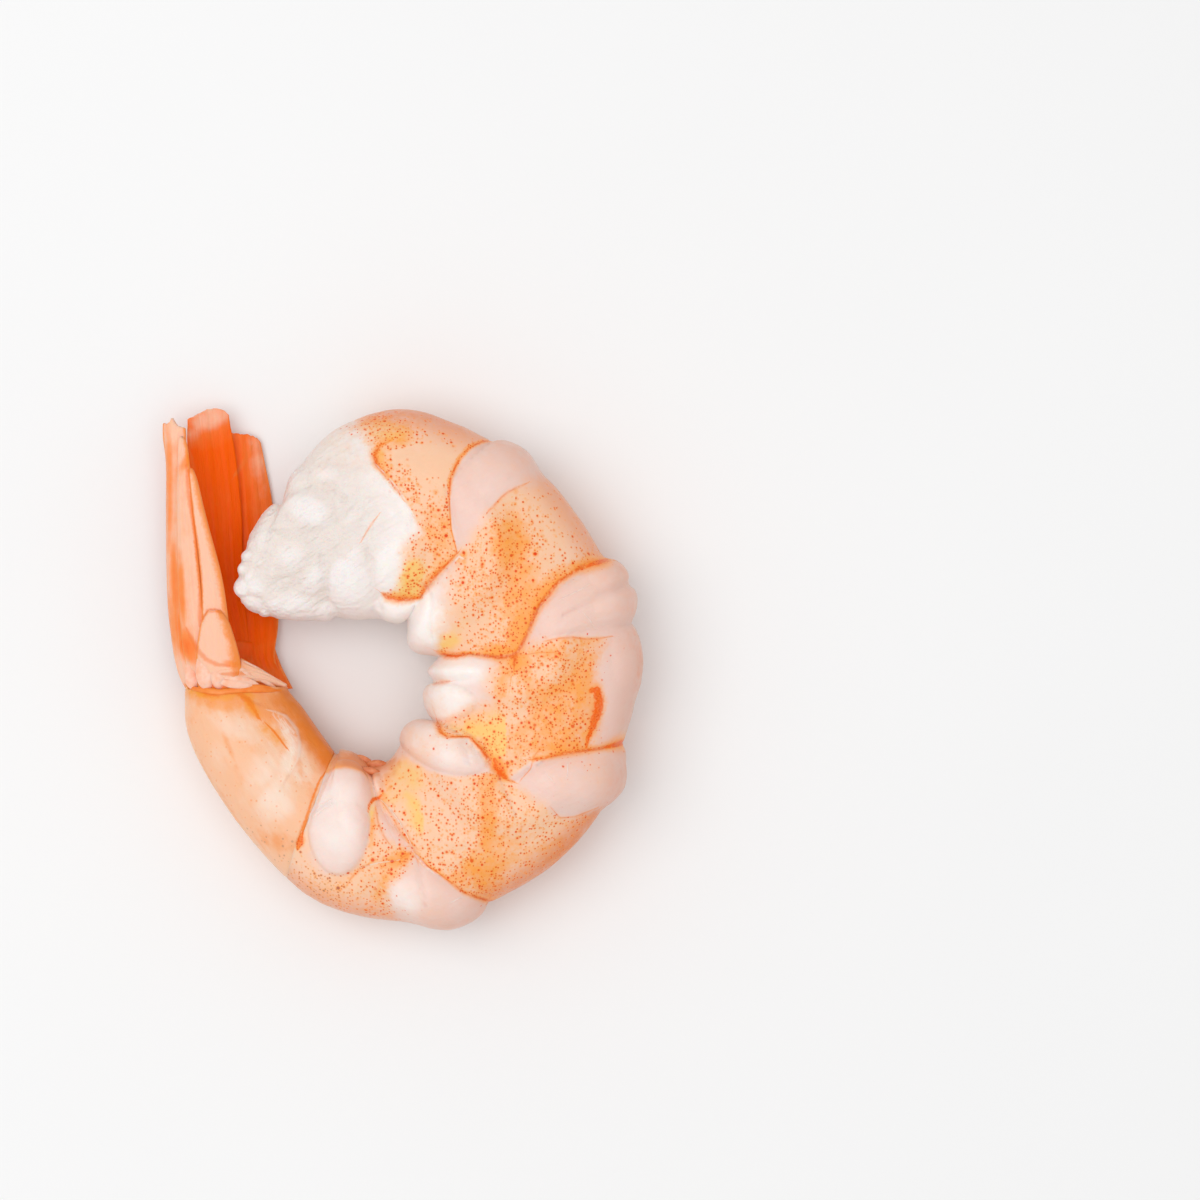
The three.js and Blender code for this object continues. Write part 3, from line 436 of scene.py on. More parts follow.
# The tail fan: stations of left x, y, z, right x, y, z from root to tip, near those of the part's
# source but with roots that run into each other. Ribs are the place across the blade, rise and
# half width; a crown is the share of the length that each place across reaches; jag is how often
# and how deep the tip is notched; margins are the widths of the bright edges, left and right.
FAN = {
    "telson": {
        "stations": [
            (-20.9, -2.6, 4, -20, -2.6, 6.2), (-22.3, 0, 3.6, -20.9, 0, 6.5),
            (-23, 3.5, 3.6, -21.2, 3.5, 6.8), (-23.4, 8, 3.8, -21.3, 8, 6.8),
            (-23.5, 15, 4.2, -21.4, 15, 6.7), (-23.5, 20.5, 4.6, -21.5, 20.5, 6.4),
            (-23.8, 23.4, 5, -21.5, 23.4, 6.2), (-23.8, 25.4, 5.2, -21.7, 25.4, 6),
        ],
        "crown": [(-1, 0.945), (-0.8, 0.955), (-0.45, 0.945), (-0.2, 0.965), (-0.05, 1),
                  (0.08, 0.975), (0.4, 0.935), (1, 0.915)],
        "ribs": [(-0.35, 0.08, 0.22), (0.45, 0.08, 0.2)], "margins": (0.22, 0.14),
        "jag": (5, 0.012), "seed": 3, "thickness": 0.55, "camber": 0.25, "deep": 0.2, "tip": 0,
    },
    "upper_root": {
        "stations": [
            (-20.2, -2.4, 7, -15.6, -2, 8), (-20.4, 0.8, 8, -16, 1.2, 8.8),
            (-20.1, 3.6, 8.6, -16.7, 3.8, 9), (-19.6, 6, 8.9, -17.5, 6.1, 9.1),
        ],
        # Its wide right margin is partly painted shade on the plate's thick side face.
        "ribs": [(0.7, 0.1, 0.3)], "margins": (0.16, 0.6), "jag": (2, 0.01), "seed": 11,
        "thickness": 0.7, "camber": 0.45, "deep": 0.06, "tip": 0.25,
    },
    "upper_outer_blade": {
        "stations": [
            (-21, -1.5, 6.4, -19.3, -1.5, 7.4), (-21.8, 2.5, 6.9, -19.5, 2.5, 8),
            (-22.1, 6.2, 7, -19.7, 6.2, 8.3), (-22.3, 12.5, 7, -20.3, 12.5, 8.3),
            (-22.3, 19, 6.8, -20.9, 19, 7.8), (-22.2, 23.4, 6.5, -21.4, 23.4, 7),
        ],
        "ribs": [(-0.3, 0.08, 0.16), (0.35, 0.08, 0.16)], "margins": (0.1, 0.16), "jag": (3, 0.02),
        "seed": 19, "thickness": 0.4, "camber": 0.2, "deep": 0.1,
    },
    "upper_inner_blade": {
        "stations": [
            (-19.7, 4, 8.4, -17, 4, 8.6), (-19.8, 7.8, 8.6, -17.5, 7.8, 8.8),
            (-20, 10.3, 8.6, -18, 10.3, 8.8), (-20.3, 12.9, 8.5, -18.7, 12.9, 8.7),
            (-20.7, 15.9, 8.3, -19.5, 15.9, 8.4), (-21, 18.8, 8, -20.2, 18.8, 8.1),
            (-21.1, 20.2, 7.9, -20.7, 20.2, 7.9),
        ],
        "ribs": [(0.1, 0.06, 0.2), (0.8, 0.06, 0.14)], "margins": (0.12, 0.42), "jag": (3, 0.01),
        "seed": 27, "thickness": 0.4, "camber": 0.22, "deep": 0.02,
    },
    "collar_flap": {
        "stations": [
            (-15.9, 1.2, 8.1, -16.4, -1.2, 8.6), (-13.8, 0, 6.9, -13.9, -1.3, 7.3),
            (-11.4, -1.6, 5.3, -11.8, -1.9, 5.8),
        ],
        "ribs": [(-0.5, 0.12, 0.12), (0, 0.1, 0.12), (0.5, 0.12, 0.12)], "margins": (0.12, 0.1),
        "jag": (3, 0.03), "seed": 35, "thickness": 0.36, "camber": 0.25, "deep": 0,
    },
    "lower_root": {
        "stations": [
            (-18.4, -2.4, 2.8, -10.9, -1.9, 2.3), (-18.2, 0.4, 2.5, -12.1, 0.4, 1.6),
            (-17.6, 3, 2.3, -12.9, 2.6, 1.2),
        ],
        "ribs": [(0.75, 0.2, 0.4)], "margins": (0, 0.2), "jag": (2, 0), "seed": 43,
        "thickness": 0.75, "camber": 0.2, "deep": 0.62,
    },
    "lower_inner_blade": {
        "stations": [
            (-18.2, -1.6, 3.4, -14.2, -1.6, 2.9), (-18.5, 1, 3.1, -15, 1, 2.5),
            (-19.2, 4.5, 3.1, -15.5, 4.5, 2), (-20.2, 9, 3.2, -15.9, 9, 1.7),
            (-20.9, 16, 3.6, -16.1, 16, 1.75), (-21.4, 22.4, 3.9, -16.8, 22.4, 2.2),
            (-21.4, 24.6, 4, -17.2, 24.6, 2.5), (-21.4, 26.3, 4.1, -17.4, 26.3, 2.9),
        ],
        "crown": [(-1, 0.905), (-0.7, 0.925), (-0.35, 0.96), (0, 0.988), (0.35, 1), (0.62, 1),
                  (0.82, 0.978), (1, 0.945)],
        "ribs": [(-0.1, 0.1, 0.3), (0.6, 0.06, 0.2)], "margins": (0, 0), "jag": (5, 0.01),
        "seed": 51, "thickness": 0.4, "camber": -0.4, "deep": 0.92, "tip": 0,
    },
    "lower_outer_blade": {
        "stations": [
            (-15.6, -1.4, 2.7, -11.8, -1, 2.2), (-16.6, 1.2, 2.3, -12.7, 1.2, 1.9),
            (-17.4, 4.5, 1.6, -12.4, 4.5, 1.1), (-18, 9, 1.2, -12.3, 9, 0.5),
            (-18.4, 16, 1.1, -12.9, 16, 0.4), (-18.3, 20.5, 1.2, -13.7, 20.5, 0.5),
            (-18.1, 24.1, 1.3, -14.4, 23.9, 0.6),
        ],
        "crown": [(-1, 1), (0.5, 0.99), (0.85, 0.975), (1, 0.955)],
        "ribs": [(0, 0.1, 0.2), (0.4, 0.08, 0.18), (0.75, 0.08, 0.18)], "margins": (0, 0.12),
        "jag": (5, 0.01), "seed": 59, "thickness": 0.4, "camber": 0.2, "deep": 0.55, "tip": 0,
    },
}
# Soft spots where the fan's colour is deeper or paler, and its lines, laid out like the flesh's.
# The deeper strips along the telson's right side are partly painted shade on its side wall.
FAN_DEEP = [
    (-22.9, 4.5, 2.6, 0.6, 95, 0.25), (-16, 17, 7, 0.9, 92, 0.35),
    (-22.6, 8.5, 3.4, 0.35, 93, 0.45), (-21.9, 8, 3.2, 0.35, 93, 0.45),
    (-22.2, 4, 2.6, 0.4, 100, 0.4), (-21.1, 2, 1.9, 0.8, 115, 0.7), (-23.2, 19, 6, 0.3, 90, 0.25),
    (-21.3, 21, 1.4, 0.4, 60, 0.35), (-19.5, 21.2, 1.4, 0.7, 0, 0.25),
    (-17.8, 20.8, 1.8, 0.9, 60, 0.3), (-14.4, 4.5, 3, 1.8, 90, 0.45), (-13.8, 11, 3.4, 1, 90, 0.35),
    (-14.5, 1, 2.4, 1.6, 0, 0.45), (-13.8, 1.5, 1.4, 1.4, 0, 0.4), (-15.6, 15, 6, 0.5, 90, 0.35),
    (-20.4, -1.4, 1.4, 0.3, 10, 0.5), (-16.7, 0.6, 1.2, 0.4, -10, 0.5),
    (-18.6, -1.6, 1.4, 0.5, -10, 0.7),
]
# The pale spots at the top of the lower inner blade are partly a painted highlight where it bends
# up into the light.
FAN_PALE = [
    (-18.7, 3.2, 2.4, 1.2, 80, 0.22), (-19.7, 0.2, 2.2, 1.7, 0, 0.4),
    (-13.8, -0.6, 3, 0.8, -38, 0.3), (-19.2, 25.4, 2.8, 1.7, 22, 0.72),
    (-21, 23.8, 1.2, 1.4, 20, 0.55), (-14.8, 21.5, 2.8, 1.2, 100, 0.25),
    (-13.8, 18, 3.4, 0.5, 100, 0.12), (-16.5, 23.7, 2.4, 0.6, 0, 0.2),
    (-19.5, 0, 1.6, 1.4, 0, 0.25),
]
# The first two lines, along the gap between the upper blades, are partly painted shade.
FAN_LINES = [
    [(-21.3, 22.4, 0.06), (-21, 21.2, 0.14), (-20.9, 20, 0.2)],
    [(-21.4, 20.5, 0.08), (-21.1, 17.3, 0.16), (-20.7, 14.9, 0.16), (-20.3, 12.5, 0.16),
     (-20, 10, 0.18), (-19.9, 7.8, 0.18), (-20, 5.4, 0.16), (-20, 4.4, 0.1)],
    [(-15, 22.5, 0.1), (-15.8, 21, 0.2), (-16.7, 19.6, 0.12)],
    [(-19.8, 5, 0.08), (-19.2, 5.9, 0.16), (-18.5, 6, 0.16), (-17.8, 5.7, 0.08)],
    [(-21.4, 4.2, 0.08), (-20.9, 3.2, 0.14), (-20.3, 2.1, 0.18), (-19.4, 1.1, 0.18),
     (-18.4, 0.6, 0.16), (-17, 0.4, 0.1)],
    [(-17.8, -0.4, 0.1), (-16.6, -0.4, 0.2), (-15.4, -0.3, 0.12)],
]

# Strands of torn shell where the fan meets the shell ring: x, y, z and half width.
COLLAR_STRANDS = [
    [(-15.7, 0.8, 8.2, 0.2), (-14.2, -0.1, 7.5, 0.34), (-12.8, -1.1, 6.6, 0.3),
     (-11.5, -2.1, 5.6, 0.12)],
    [(-15.6, 0.1, 8.4, 0.16), (-14.4, -0.6, 7.8, 0.26), (-13, -1.5, 7, 0.22),
     (-12.1, -2.2, 6.3, 0.1)],
    [(-18.3, 0.5, 8.6, 0.18), (-16.9, 0.2, 8.8, 0.3), (-15.6, -0.1, 8.5, 0.26),
     (-14.6, -0.9, 8, 0.1)],
    [(-18.2, -0.6, 8.5, 0.2), (-16.8, -0.9, 8.8, 0.4), (-15.2, -1.1, 8.4, 0.34),
     (-13.6, -1.9, 7.5, 0.12)],
]
# Lumps of pale tissue over the roots of the fan, and the orange seam where they meet the ring.
COLLAR_TISSUE = [
    [(-21, 1.4, 6.9, 0.2), (-20.9, 0.3, 7.1, 0.6), (-20.8, -0.8, 7.35, 0.74),
     (-20.7, -1.5, 7.3, 0.6), (-20.6, -1.95, 7, 0.2)],
    [(-20, 1.6, 8.2, 0.25), (-19.7, 0.8, 8.42, 0.72), (-19.5, -0.2, 8.5, 0.95),
     (-19.4, -1.1, 8.45, 0.85), (-19.3, -1.7, 8.25, 0.55), (-19.3, -2.1, 8, 0.15)],
    [(-18.7, 0.9, 8.55, 0.15), (-18.4, 0.2, 8.65, 0.5), (-18.2, -0.7, 8.7, 0.74),
     (-18.1, -1.4, 8.6, 0.62), (-18, -1.95, 8.3, 0.2)],
    [(-18.1, -1.1, 8.75, 0.15), (-17.2, -1.3, 8.86, 0.42), (-16.2, -1.4, 8.74, 0.46),
     (-15.2, -1.6, 8.45, 0.34), (-14.4, -1.9, 8.1, 0.1)],
]
COLLAR_SEAM = [
    [(-21.5, -1.6, 5.5, 0.08), (-20.9, -1.8, 7.15, 0.18), (-20.1, -1.95, 8, 0.24),
     (-19.3, -2.05, 8.44, 0.28), (-18.7, -2.15, 8.66, 0.3), (-18, -2.2, 8.78, 0.3),
     (-17.2, -2.1, 8.8, 0.28), (-16.2, -1.95, 8.68, 0.34), (-15.2, -1.85, 8.44, 0.42),
     (-14, -1.85, 8, 0.42), (-12.9, -1.95, 7.35, 0.3), (-11.9, -2.05, 6.6, 0.1)],
]
# Stubs of browned membrane along the belly, between the shell ring and the last segment; their dark
# colour is partly painted shade.
BELLY_STUBS = [
    [(-5.9, -9.3, 6.2, 0.28), (-5, -9.1, 6.6, 0.46), (-4, -9, 6.9, 0.52), (-3.2, -9.3, 7.1, 0.42),
     (-2.6, -9.7, 7.1, 0.2)],
    [(-3.5, -9.6, 7.3, 0.26), (-2.6, -9.5, 7.6, 0.5), (-1.8, -9.6, 7.7, 0.52),
     (-1, -9.9, 7.5, 0.26)],
    [(-5, -10.1, 8.2, 0.18), (-3.9, -10, 8.7, 0.34), (-2.8, -10.1, 8.9, 0.36),
     (-1.8, -10.4, 8.8, 0.2)],
]


# Curves, distances and noise, all over arrays of points in millimetres.
def along(table, u):
    """The rows of a table at stations u, by the same spline as the part's source."""
    table = np.asarray(table, float)
    u = np.asarray(u, float)
    i = np.clip(np.floor(u).astype(int), 0, len(table) - 2)
    w = (u - i)[:, None]
    longer = np.vstack([2 * table[0] - table[1], table, 2 * table[-1] - table[-2]])
    a, b, c, d = (longer[i + k] for k in range(4))
    leave, arrive, rise = (c - a) / 2, (d - b) / 2, c - b
    return b + w * (leave + w * (3 * rise - 2 * leave - arrive + w * (leave + arrive - 2 * rise)))


def smooth(value, low, high):
    """0 below low, 1 above high, and an S between them."""
    t = np.clip((value - low) / (high - low), 0, 1)
    return t * t * (3 - 2 * t)


def rounded(value):
    return np.sign(value) * np.abs(value) ** SECTION_ROUNDNESS


def loft_point(u, a, inset=0.0):
    """Points of the plain loft at station u and angle a: 0 is the back, half a turn the belly."""
    s = along(BODY, u)
    belly, back, half, middle = s[:, 0:2], s[:, 2:4], s[:, 4], s[:, 5]
    reach = np.hypot(*(back - belly).T) / 2
    across = rounded(np.cos(a))
    taper = 1 - BELLY_TAPER * ((1 - across) / 2) ** 2
    share = (reach - inset) / reach * across
    flat = (belly + back) / 2 + share[:, None] * (back - belly) / 2
    height = middle + (half - inset) * taper * rounded(np.sin(a))
    return np.column_stack([flat, height])


def skin_point(u, a):
    """The same with the rounded head end, which begins at NECK and closes at station -1."""
    point = loft_point(np.maximum(u, NECK), a)
    lean = (NECK - np.clip(u, -1, NECK)) / (NECK + 1) * (math.pi / 2)
    belly_x, belly_y, back_x, back_y, _, middle = along(BODY, [NECK])[0]
    centre = np.array([(belly_x + back_x) / 2, (belly_y + back_y) / 2, middle])
    ahead = np.array([belly_y - back_y, back_x - belly_x, 0.0])
    ahead /= np.linalg.norm(ahead)
    capped = (
        centre
        + (point - centre) * rounded(np.cos(lean))[:, None]
        + np.outer(HEAD_DEPTH * np.sin(lean), ahead)
    )
    return np.where((u < NECK)[:, None], capped, point)


def outward(point, u, a, step=0.02):
    """Unit normals of a skin that the function point gives over u and a."""
    lengthwise = point(u + step, a) - point(u - step, a)
    around = point(u, a + step) - point(u, a - step)
    out = np.cross(around, lengthwise)
    return out / np.maximum(np.linalg.norm(out, axis=1), 1e-9)[:, None]


def to_segment(x, y, start, end):
    """The share along a segment that points are nearest to, how far off, and which are left."""
    dx, dy = end[0] - start[0], end[1] - start[1]
    t = np.clip(((x - start[0]) * dx + (y - start[1]) * dy) / (dx * dx + dy * dy), 0, 1)
    ex, ey = x - start[0] - t * dx, y - start[1] - t * dy
    return t, np.hypot(ex, ey), dx * ey - dy * ex < 0


def line_distance(line, x, y):
    """Distance to a line of points, below zero on its left-hand side, and the share along it."""
    best = np.full(len(x), 1e9)
    side, share = np.ones(len(x)), np.zeros(len(x))
    for i, (start, end) in enumerate(zip(line, line[1:])):
        t, away, left = to_segment(x, y, start, end)
        nearer = away < best
        best = np.where(nearer, away, best)
        side = np.where(nearer, np.where(left, -1.0, 1.0), side)
        share = np.where(nearer, i + t, share)
    return side * best, share


def stroke(lines, x, y):
    """Signed distance to the nearest of some lines, in half widths of that line."""
    best = np.full(len(x), FAR)
    for line in lines:
        away, share = line_distance(line, x, y)
        ratio = away / np.interp(share, np.arange(len(line)), [p[2] for p in line])
        best = np.where(np.abs(ratio) < np.abs(best), ratio, best)
    return best


def patch(outlines, x, y):
    """How deep points lie inside some outlines, in softnesses of the nearest edge."""
    deepest = np.full(len(x), -1e9)
    for outline in outlines:
        inside = np.zeros(len(x), bool)
        depth = np.full(len(x), 1e9)
        for start, end in zip(outline, outline[1:] + outline[:1]):
            depth = np.minimum(depth, to_segment(x, y, start, end)[1] / start[2])
            dx, dy = end[0] - start[0], end[1] - start[1]
            if dy:
                crosses = (start[1] > y) != (end[1] > y)
                inside ^= crosses & (x < start[0] + (y - start[1]) * dx / dy)
        deepest = np.maximum(deepest, np.where(inside, depth, -depth))
    return deepest


def ellipse(spot, x, y):
    """How far out points lie in a turned ellipse, squared: 0 in its middle, 1 on its outline."""
    turn = math.radians(spot[4])
    dx, dy = x - spot[0], y - spot[1]
    lengthwise = (dx * math.cos(turn) + dy * math.sin(turn)) / spot[2]
    crosswise = (dy * math.cos(turn) - dx * math.sin(turn)) / spot[3]
    return lengthwise**2 + crosswise**2


def spots(table, x, y):
    """The strongest of some soft spots at each point."""
    best = np.zeros(len(x))
    for spot in table:
        e = ellipse(spot, x, y)
        best = np.maximum(best, spot[5] * np.exp(-e * e / (0.6 + e)))
    return best


def swell(table, x, y, edge):
    """The highest of some rounded lobes at each point."""
    best = np.zeros(len(x))
    for lobe in table:
        best = np.maximum(best, lobe[5] * np.maximum(0, 1 - ellipse(lobe, x, y)) ** edge)
    return best


def inside_lobe(lobe, x, y):
    """How far points lie inside the outline of one lobe, in millimetres."""
    return (1 - np.sqrt(ellipse(lobe, x, y))) * lobe[3]


def add_reaches(fields, *names):
    """Adds to fields of signed distances their sizes, which don't jump halfway between lines."""
    for name in names:
        fields[name + "_reach"] = np.abs(fields[name])


def noise(points, size, seed=0):
    """Smooth gradient noise, about -1 to 1, whose swells are this size apart."""
    q = points / size + seed * 13.7
    cell = np.floor(q).astype(np.int64)
    f = q - cell
    ease = f * f * f * (f * (f * 6 - 15) + 10)
    total = np.zeros(len(q))
    for corner in range(8):
        offset = np.array([corner & 1, corner >> 1 & 1, corner >> 2 & 1])
        x, y, z = (cell + offset).T
        h = (x * 374761393 + y * 668265263 + z * 1274126177 + seed * 974634777) & 0xFFFFFFFF
        h = ((h ^ (h >> 13)) * 1103515245) & 0xFFFFFFFF
        h = ((h ^ (h >> 16)) * 2654435761) & 0xFFFFFFFF
        h ^= h >> 15
        slope = np.column_stack([h & 1023, h >> 10 & 1023, h >> 20 & 1023]) / 511.5 - 1
        weight = np.prod(np.where(offset, ease, 1 - ease), axis=1)
        total += weight * np.sum(slope * (f - offset), axis=1)
    return total * 1.4


def layers(points, size, count, seed=0, roughness=0.5):
    """Several octaves of noise."""
    return sum(noise(points, size / 2**k, seed + k) * roughness**k for k in range(count))


def crumpled(points, size, count, seed=0):
    """Noise with sharp valleys, as on torn flesh."""
    return sum(np.abs(noise(points, size / 2**k, seed + k)) * 0.5**k for k in range(count))


def turned(points, degrees, stretch):
    """The points turned about Z, then drawn out along the new X, so that noise runs in fibres."""
    a = math.radians(degrees)
    x = points[:, 0] * math.cos(a) + points[:, 1] * math.sin(a)
    y = points[:, 1] * math.cos(a) - points[:, 0] * math.sin(a)
    return np.column_stack([x / stretch, y, points[:, 2]])


# Meshes
def placed(name, data):
    """A new object, put into the scene."""
    made = bpy.data.objects.new(name, data)
    bpy.context.scene.collection.objects.link(made)
    return made


def make_piece(name, points, faces, fields, uv=None):
    """A smooth mesh object from points in millimetres, its faces turned outwards."""
    faces = np.asarray(faces)
    p = points * MM
    a, b, c, d = (p[faces[:, k]] for k in range(4))
    volume = np.einsum("ij,ij->i", a, np.cross(b, c) + np.cross(c, d)).sum()
    if volume < 0:
        faces = faces[:, ::-1]
    mesh = bpy.data.meshes.new(name)
    mesh.from_pydata(p.tolist(), [], [tuple(dict.fromkeys(f)) for f in faces.tolist()])
    mesh.polygons.foreach_set("use_smooth", np.ones(len(mesh.polygons), bool))
    for field, values in fields.items():
        layer = mesh.attributes.new(field, "FLOAT", "POINT")
        layer.data.foreach_set("value", np.asarray(values, np.float32))
    if uv is not None:
        corners = np.empty(len(mesh.loops), np.int32)
        mesh.loops.foreach_get("vertex_index", corners)
        mesh.uv_layers.new(name="along").data.foreach_set(
            "uv", np.asarray(uv, np.float32)[corners].ravel()
        )
    mesh.validate()
    return placed(name, mesh)


def ring_faces(rows, columns, looped=False):
    """Quads between rows of a skin that closes round its columns, and round its rows if looped."""
    r = np.arange(rows if looped else rows - 1)[:, None]
    i = np.arange(columns)[None, :]
    j = (i + 1) % columns
    below, above = r * columns, (r + 1) % rows * columns
    return np.stack([below + i, below + j, above + j, above + i], axis=-1).reshape(-1, 4)


def pole_faces(row, columns, pole, flip):
    """A fan of faces from a row to a pole, each with its last corner twice, as quads."""
    i = row * columns + np.arange(columns)
    j = row * columns + (np.arange(columns) + 1) % columns
    tip = np.full(columns, pole)
    return np.stack([i, j, tip, tip] if flip else [j, i, tip, tip], axis=-1)


def zip_faces(row, columns, flip):
    """The closed end of a flat blade: quads between the two halves of its last ring."""
    i = np.arange(columns // 2 - 1)
    a, b = row * columns + i, row * columns + i + 1
    c, d = row * columns + columns - 2 - i, row * columns + columns - 1 - i
    return np.stack([a, b, c, d] if flip else [b, a, d, c], axis=-1)


# Node trees
def srgb(*levels):
    """A colour of 0 to 255 as Blender's linear values."""
    levels = [v / 255 for v in levels]
    return tuple(v / 12.92 if v <= 0.04045 else ((v + 0.055) / 1.055) ** 2.4 for v in levels)


class Sheet:
    """A node tree that is being laid out: most calls add a node and give back its output."""

    def __init__(self, tree):
        self.tree = tree

    def node(self, kind, **settings):
        made = self.tree.nodes.new(kind)
        for key, value in settings.items():
            setattr(made, key, value)
        return made

    def feed(self, socket, value):
        """Links a socket to another one, or sets it to a plain value."""
        if isinstance(value, bpy.types.NodeSocket):
            self.tree.links.new(value, socket)
        else:
            socket.default_value = (*value, 1.0) if socket.type == "RGBA" else value

    def take(self, output, kind, inputs, **settings):
        """Adds a node, fills some of its inputs and gives back one of its outputs."""
        made = self.node(kind, **settings)
        for name, value in inputs.items():
            self.feed(made.inputs[name], value)
        return made.outputs if output is None else made.outputs[output]

    def math(self, operation, *values, **settings):
        inputs = dict(enumerate(values))
        return self.take(0, "ShaderNodeMath", inputs, operation=operation, **settings)

    def total(self, *values):
        out = values[0]
        for value in values[1:]:
            out = self.math("ADD", out, value)
        return out

    def times(self, *values):
        out = values[0]
        for value in values[1:]:
            out = self.math("MULTIPLY", out, value)
        return out

    def sloped(self, value, slope, start):
        """The value times slope, plus start."""
        return self.math("MULTIPLY_ADD", value, slope, start)

    def most(self, *values):
        return self.math("MAXIMUM", *values)

    def step(self, value, low, high):
        """0 where the value is at low, 1 at high, and an S between them."""
        inputs = {0: value, 1: low, 2: high}
        return self.take(0, "ShaderNodeMapRange", inputs, interpolation_type="SMOOTHSTEP")

    def mix(self, share, first, second):
        return self.take(2, "ShaderNodeMix", {0: share, 6: first, 7: second}, data_type="RGBA")

    def tint(self, colour, paint, value, low, high, *strength):
        """Paints over a colour, from none where the value is at low to all where it is at high."""
        return self.mix(self.times(self.step(value, low, high), *strength), colour, paint)

    def field(self, name):
        return self.take("Fac", "ShaderNodeAttribute", {}, attribute_name=name)

    def uneven(self, field, *clouds):
        """A field of the mesh, or a number, plus shares of some clouds."""
        start = self.field(field) if isinstance(field, str) else field
        return self.total(start, *(self.times(cloud, share) for cloud, share in clouds))

    def line_away(self, name, guard=0.22):
        """How far a place is from the nearest line of a field, in half widths."""
        beyond = self.times(self.field(name + "_reach"), guard)
        return self.most(self.math("ABSOLUTE", self.field(name)), beyond)

    def mapped(self, place, scale, degrees=0.0, kind="POINT"):
        turn = (0.0, 0.0, math.radians(degrees))
        inputs = {"Vector": place, "Rotation": turn, "Scale": scale}
        return self.take("Vector", "ShaderNodeMapping", inputs, vector_type=kind)

    def millimetres(self):
        """Object coordinates in millimetres."""
        place = self.node("ShaderNodeTexCoord").outputs["Object"]
        return self.mapped(place, (1 / MM,) * 3)

    def drawn_out(self, place, degrees, along, across):
        """A place for patterns that run long in one direction, seen from above."""
        return self.mapped(place, (along, across, 1.0), degrees, "TEXTURE")

    def pattern(self, kind, given, spacing, **inputs):
        """The outputs of a texture over a group's Vector, with its spacing in millimetres."""
        scale = self.math("DIVIDE", 1.0, given[spacing])
        return self.take(None, kind, {"Vector": given["Vector"], "Scale": scale, **inputs})

    def cloud(self, place, size):
        return self.group("Value", mottle_group(), Vector=place, Size=size)

    def grain(self, place, size, depth):
        return self.group("Height", grain_group(), Vector=place, Size=size, Depth=depth)

    def dots(self, place, spacing, radius, density):
        sizes = {"Spacing": spacing, "Radius": radius, "Density": density}
        return self.group(None, speckle_group(), Vector=place, **sizes)

    def group(self, output, tree, **inputs):
        return self.take(output, "ShaderNodeGroup", inputs, node_tree=tree)


def new_tree(name, kind, inputs, outputs):
    """A node group's sheet, inputs and outputs. Each socket is given as its kind or its number."""
    tree = bpy.data.node_groups.new(name, kind)
    for way, sockets in (("INPUT", inputs), ("OUTPUT", outputs)):
        for label, given in sockets.items():
            number = isinstance(given, float)
            socket = tree.interface.new_socket(
                label, in_out=way, socket_type="NodeSocket" + ("Float" if number else given)
            )
            if number:
                socket.default_value = given
    sheet = Sheet(tree)
    return sheet, sheet.node("NodeGroupInput").outputs, sheet.node("NodeGroupOutput").inputs


def once(name, inputs, outputs):
    """Lets a function that lays out a shader node group do so once, and find it after that."""
    def keep(lay_out):
        def find():
            if name not in bpy.data.node_groups:
                given = {"Vector": "Vector", **inputs}
                made = dict.fromkeys(outputs, "Float")
                lay_out(*new_tree(name, "ShaderNodeTree", given, made))
            return bpy.data.node_groups[name]

        return find

    return keep


@once("prawn_mottle", {"Size": 1.0}, ["Value"])
def mottle_group(sheet, given, out):
    """Cloudy variation, about -0.5 to 0.5, for colours and ragged edges."""
    cloud = sheet.pattern("ShaderNodeTexNoise", given, "Size", Detail=3.0)["Fac"]
    sheet.feed(out["Value"], sheet.times(sheet.math("SUBTRACT", cloud, 0.5), 1.6))


@once("prawn_grain", {"Size": 0.5, "Depth": 0.02}, ["Height"])
def grain_group(sheet, given, out):
    """Fine unevenness of a surface, as a height in millimetres."""
    cloud = sheet.pattern("ShaderNodeTexNoise", given, "Size", Detail=4.0)["Fac"]
    sheet.feed(out["Height"], sheet.times(cloud, given["Depth"]))


@once("prawn_speckle", {"Spacing": 0.7, "Radius": 0.16, "Density": 0.5}, ["Mask", "Halo", "Tone"])
def speckle_group(sheet, given, out):
    """Pigment dots: some cells of a scatter hold a dot, whose size varies from dot to dot."""
    cells = sheet.pattern("ShaderNodeTexVoronoi", given, "Spacing")
    chance, size, tone = sheet.take(None, "ShaderNodeSeparateColor", {0: cells["Color"]})
    away = sheet.times(cells["Distance"], given["Spacing"])
    radius = sheet.times(given["Radius"], sheet.sloped(size, 0.9, 0.55))
    reach = sheet.math("DIVIDE", away, radius)
    there = sheet.step(sheet.math("SUBTRACT", given["Density"], chance), 0.0, 0.06)
    sheet.feed(out["Mask"], sheet.times(sheet.step(reach, 1.15, 0.55), there))
    sheet.feed(out["Halo"], sheet.times(sheet.step(reach, 2.4, 0.8), there))
    sheet.feed(out["Tone"], tone)


# Materials
def start_material(name):
    """The sheet of a new material, which keeps the material and its shader."""
    material = bpy.data.materials.new(name)
    material.use_nodes = True
    sheet = Sheet(material.node_tree)
    sheet.material, sheet.shader = material, material.node_tree.nodes["Principled BSDF"]
    return sheet


def finish_surface(sheet, colour, roughness, height, **finish):
    """Links a colour, a roughness and a height in millimetres, and sets the rest."""
    inputs = {"Height": height, "Distance": MM}
    linked = {
        "Base Color": colour,
        "Roughness": roughness,
        "Normal": sheet.take("Normal", "ShaderNodeBump", inputs),
    }
    for name, value in linked.items():
        sheet.feed(sheet.shader.inputs[name], value)
    for name, value in finish.items():
        sheet.shader.inputs[name.replace("_", " ")].default_value = value
    return sheet.material


# Layers of pigment dots: spacing and radius in millimetres, share of cells with a dot, strength.
DOT_LAYERS = ((0.28, 0.088, 1.0, 1.0), (0.43, 0.116, 0.70, 1.0), (0.90, 0.16, 0.55, 1.0))


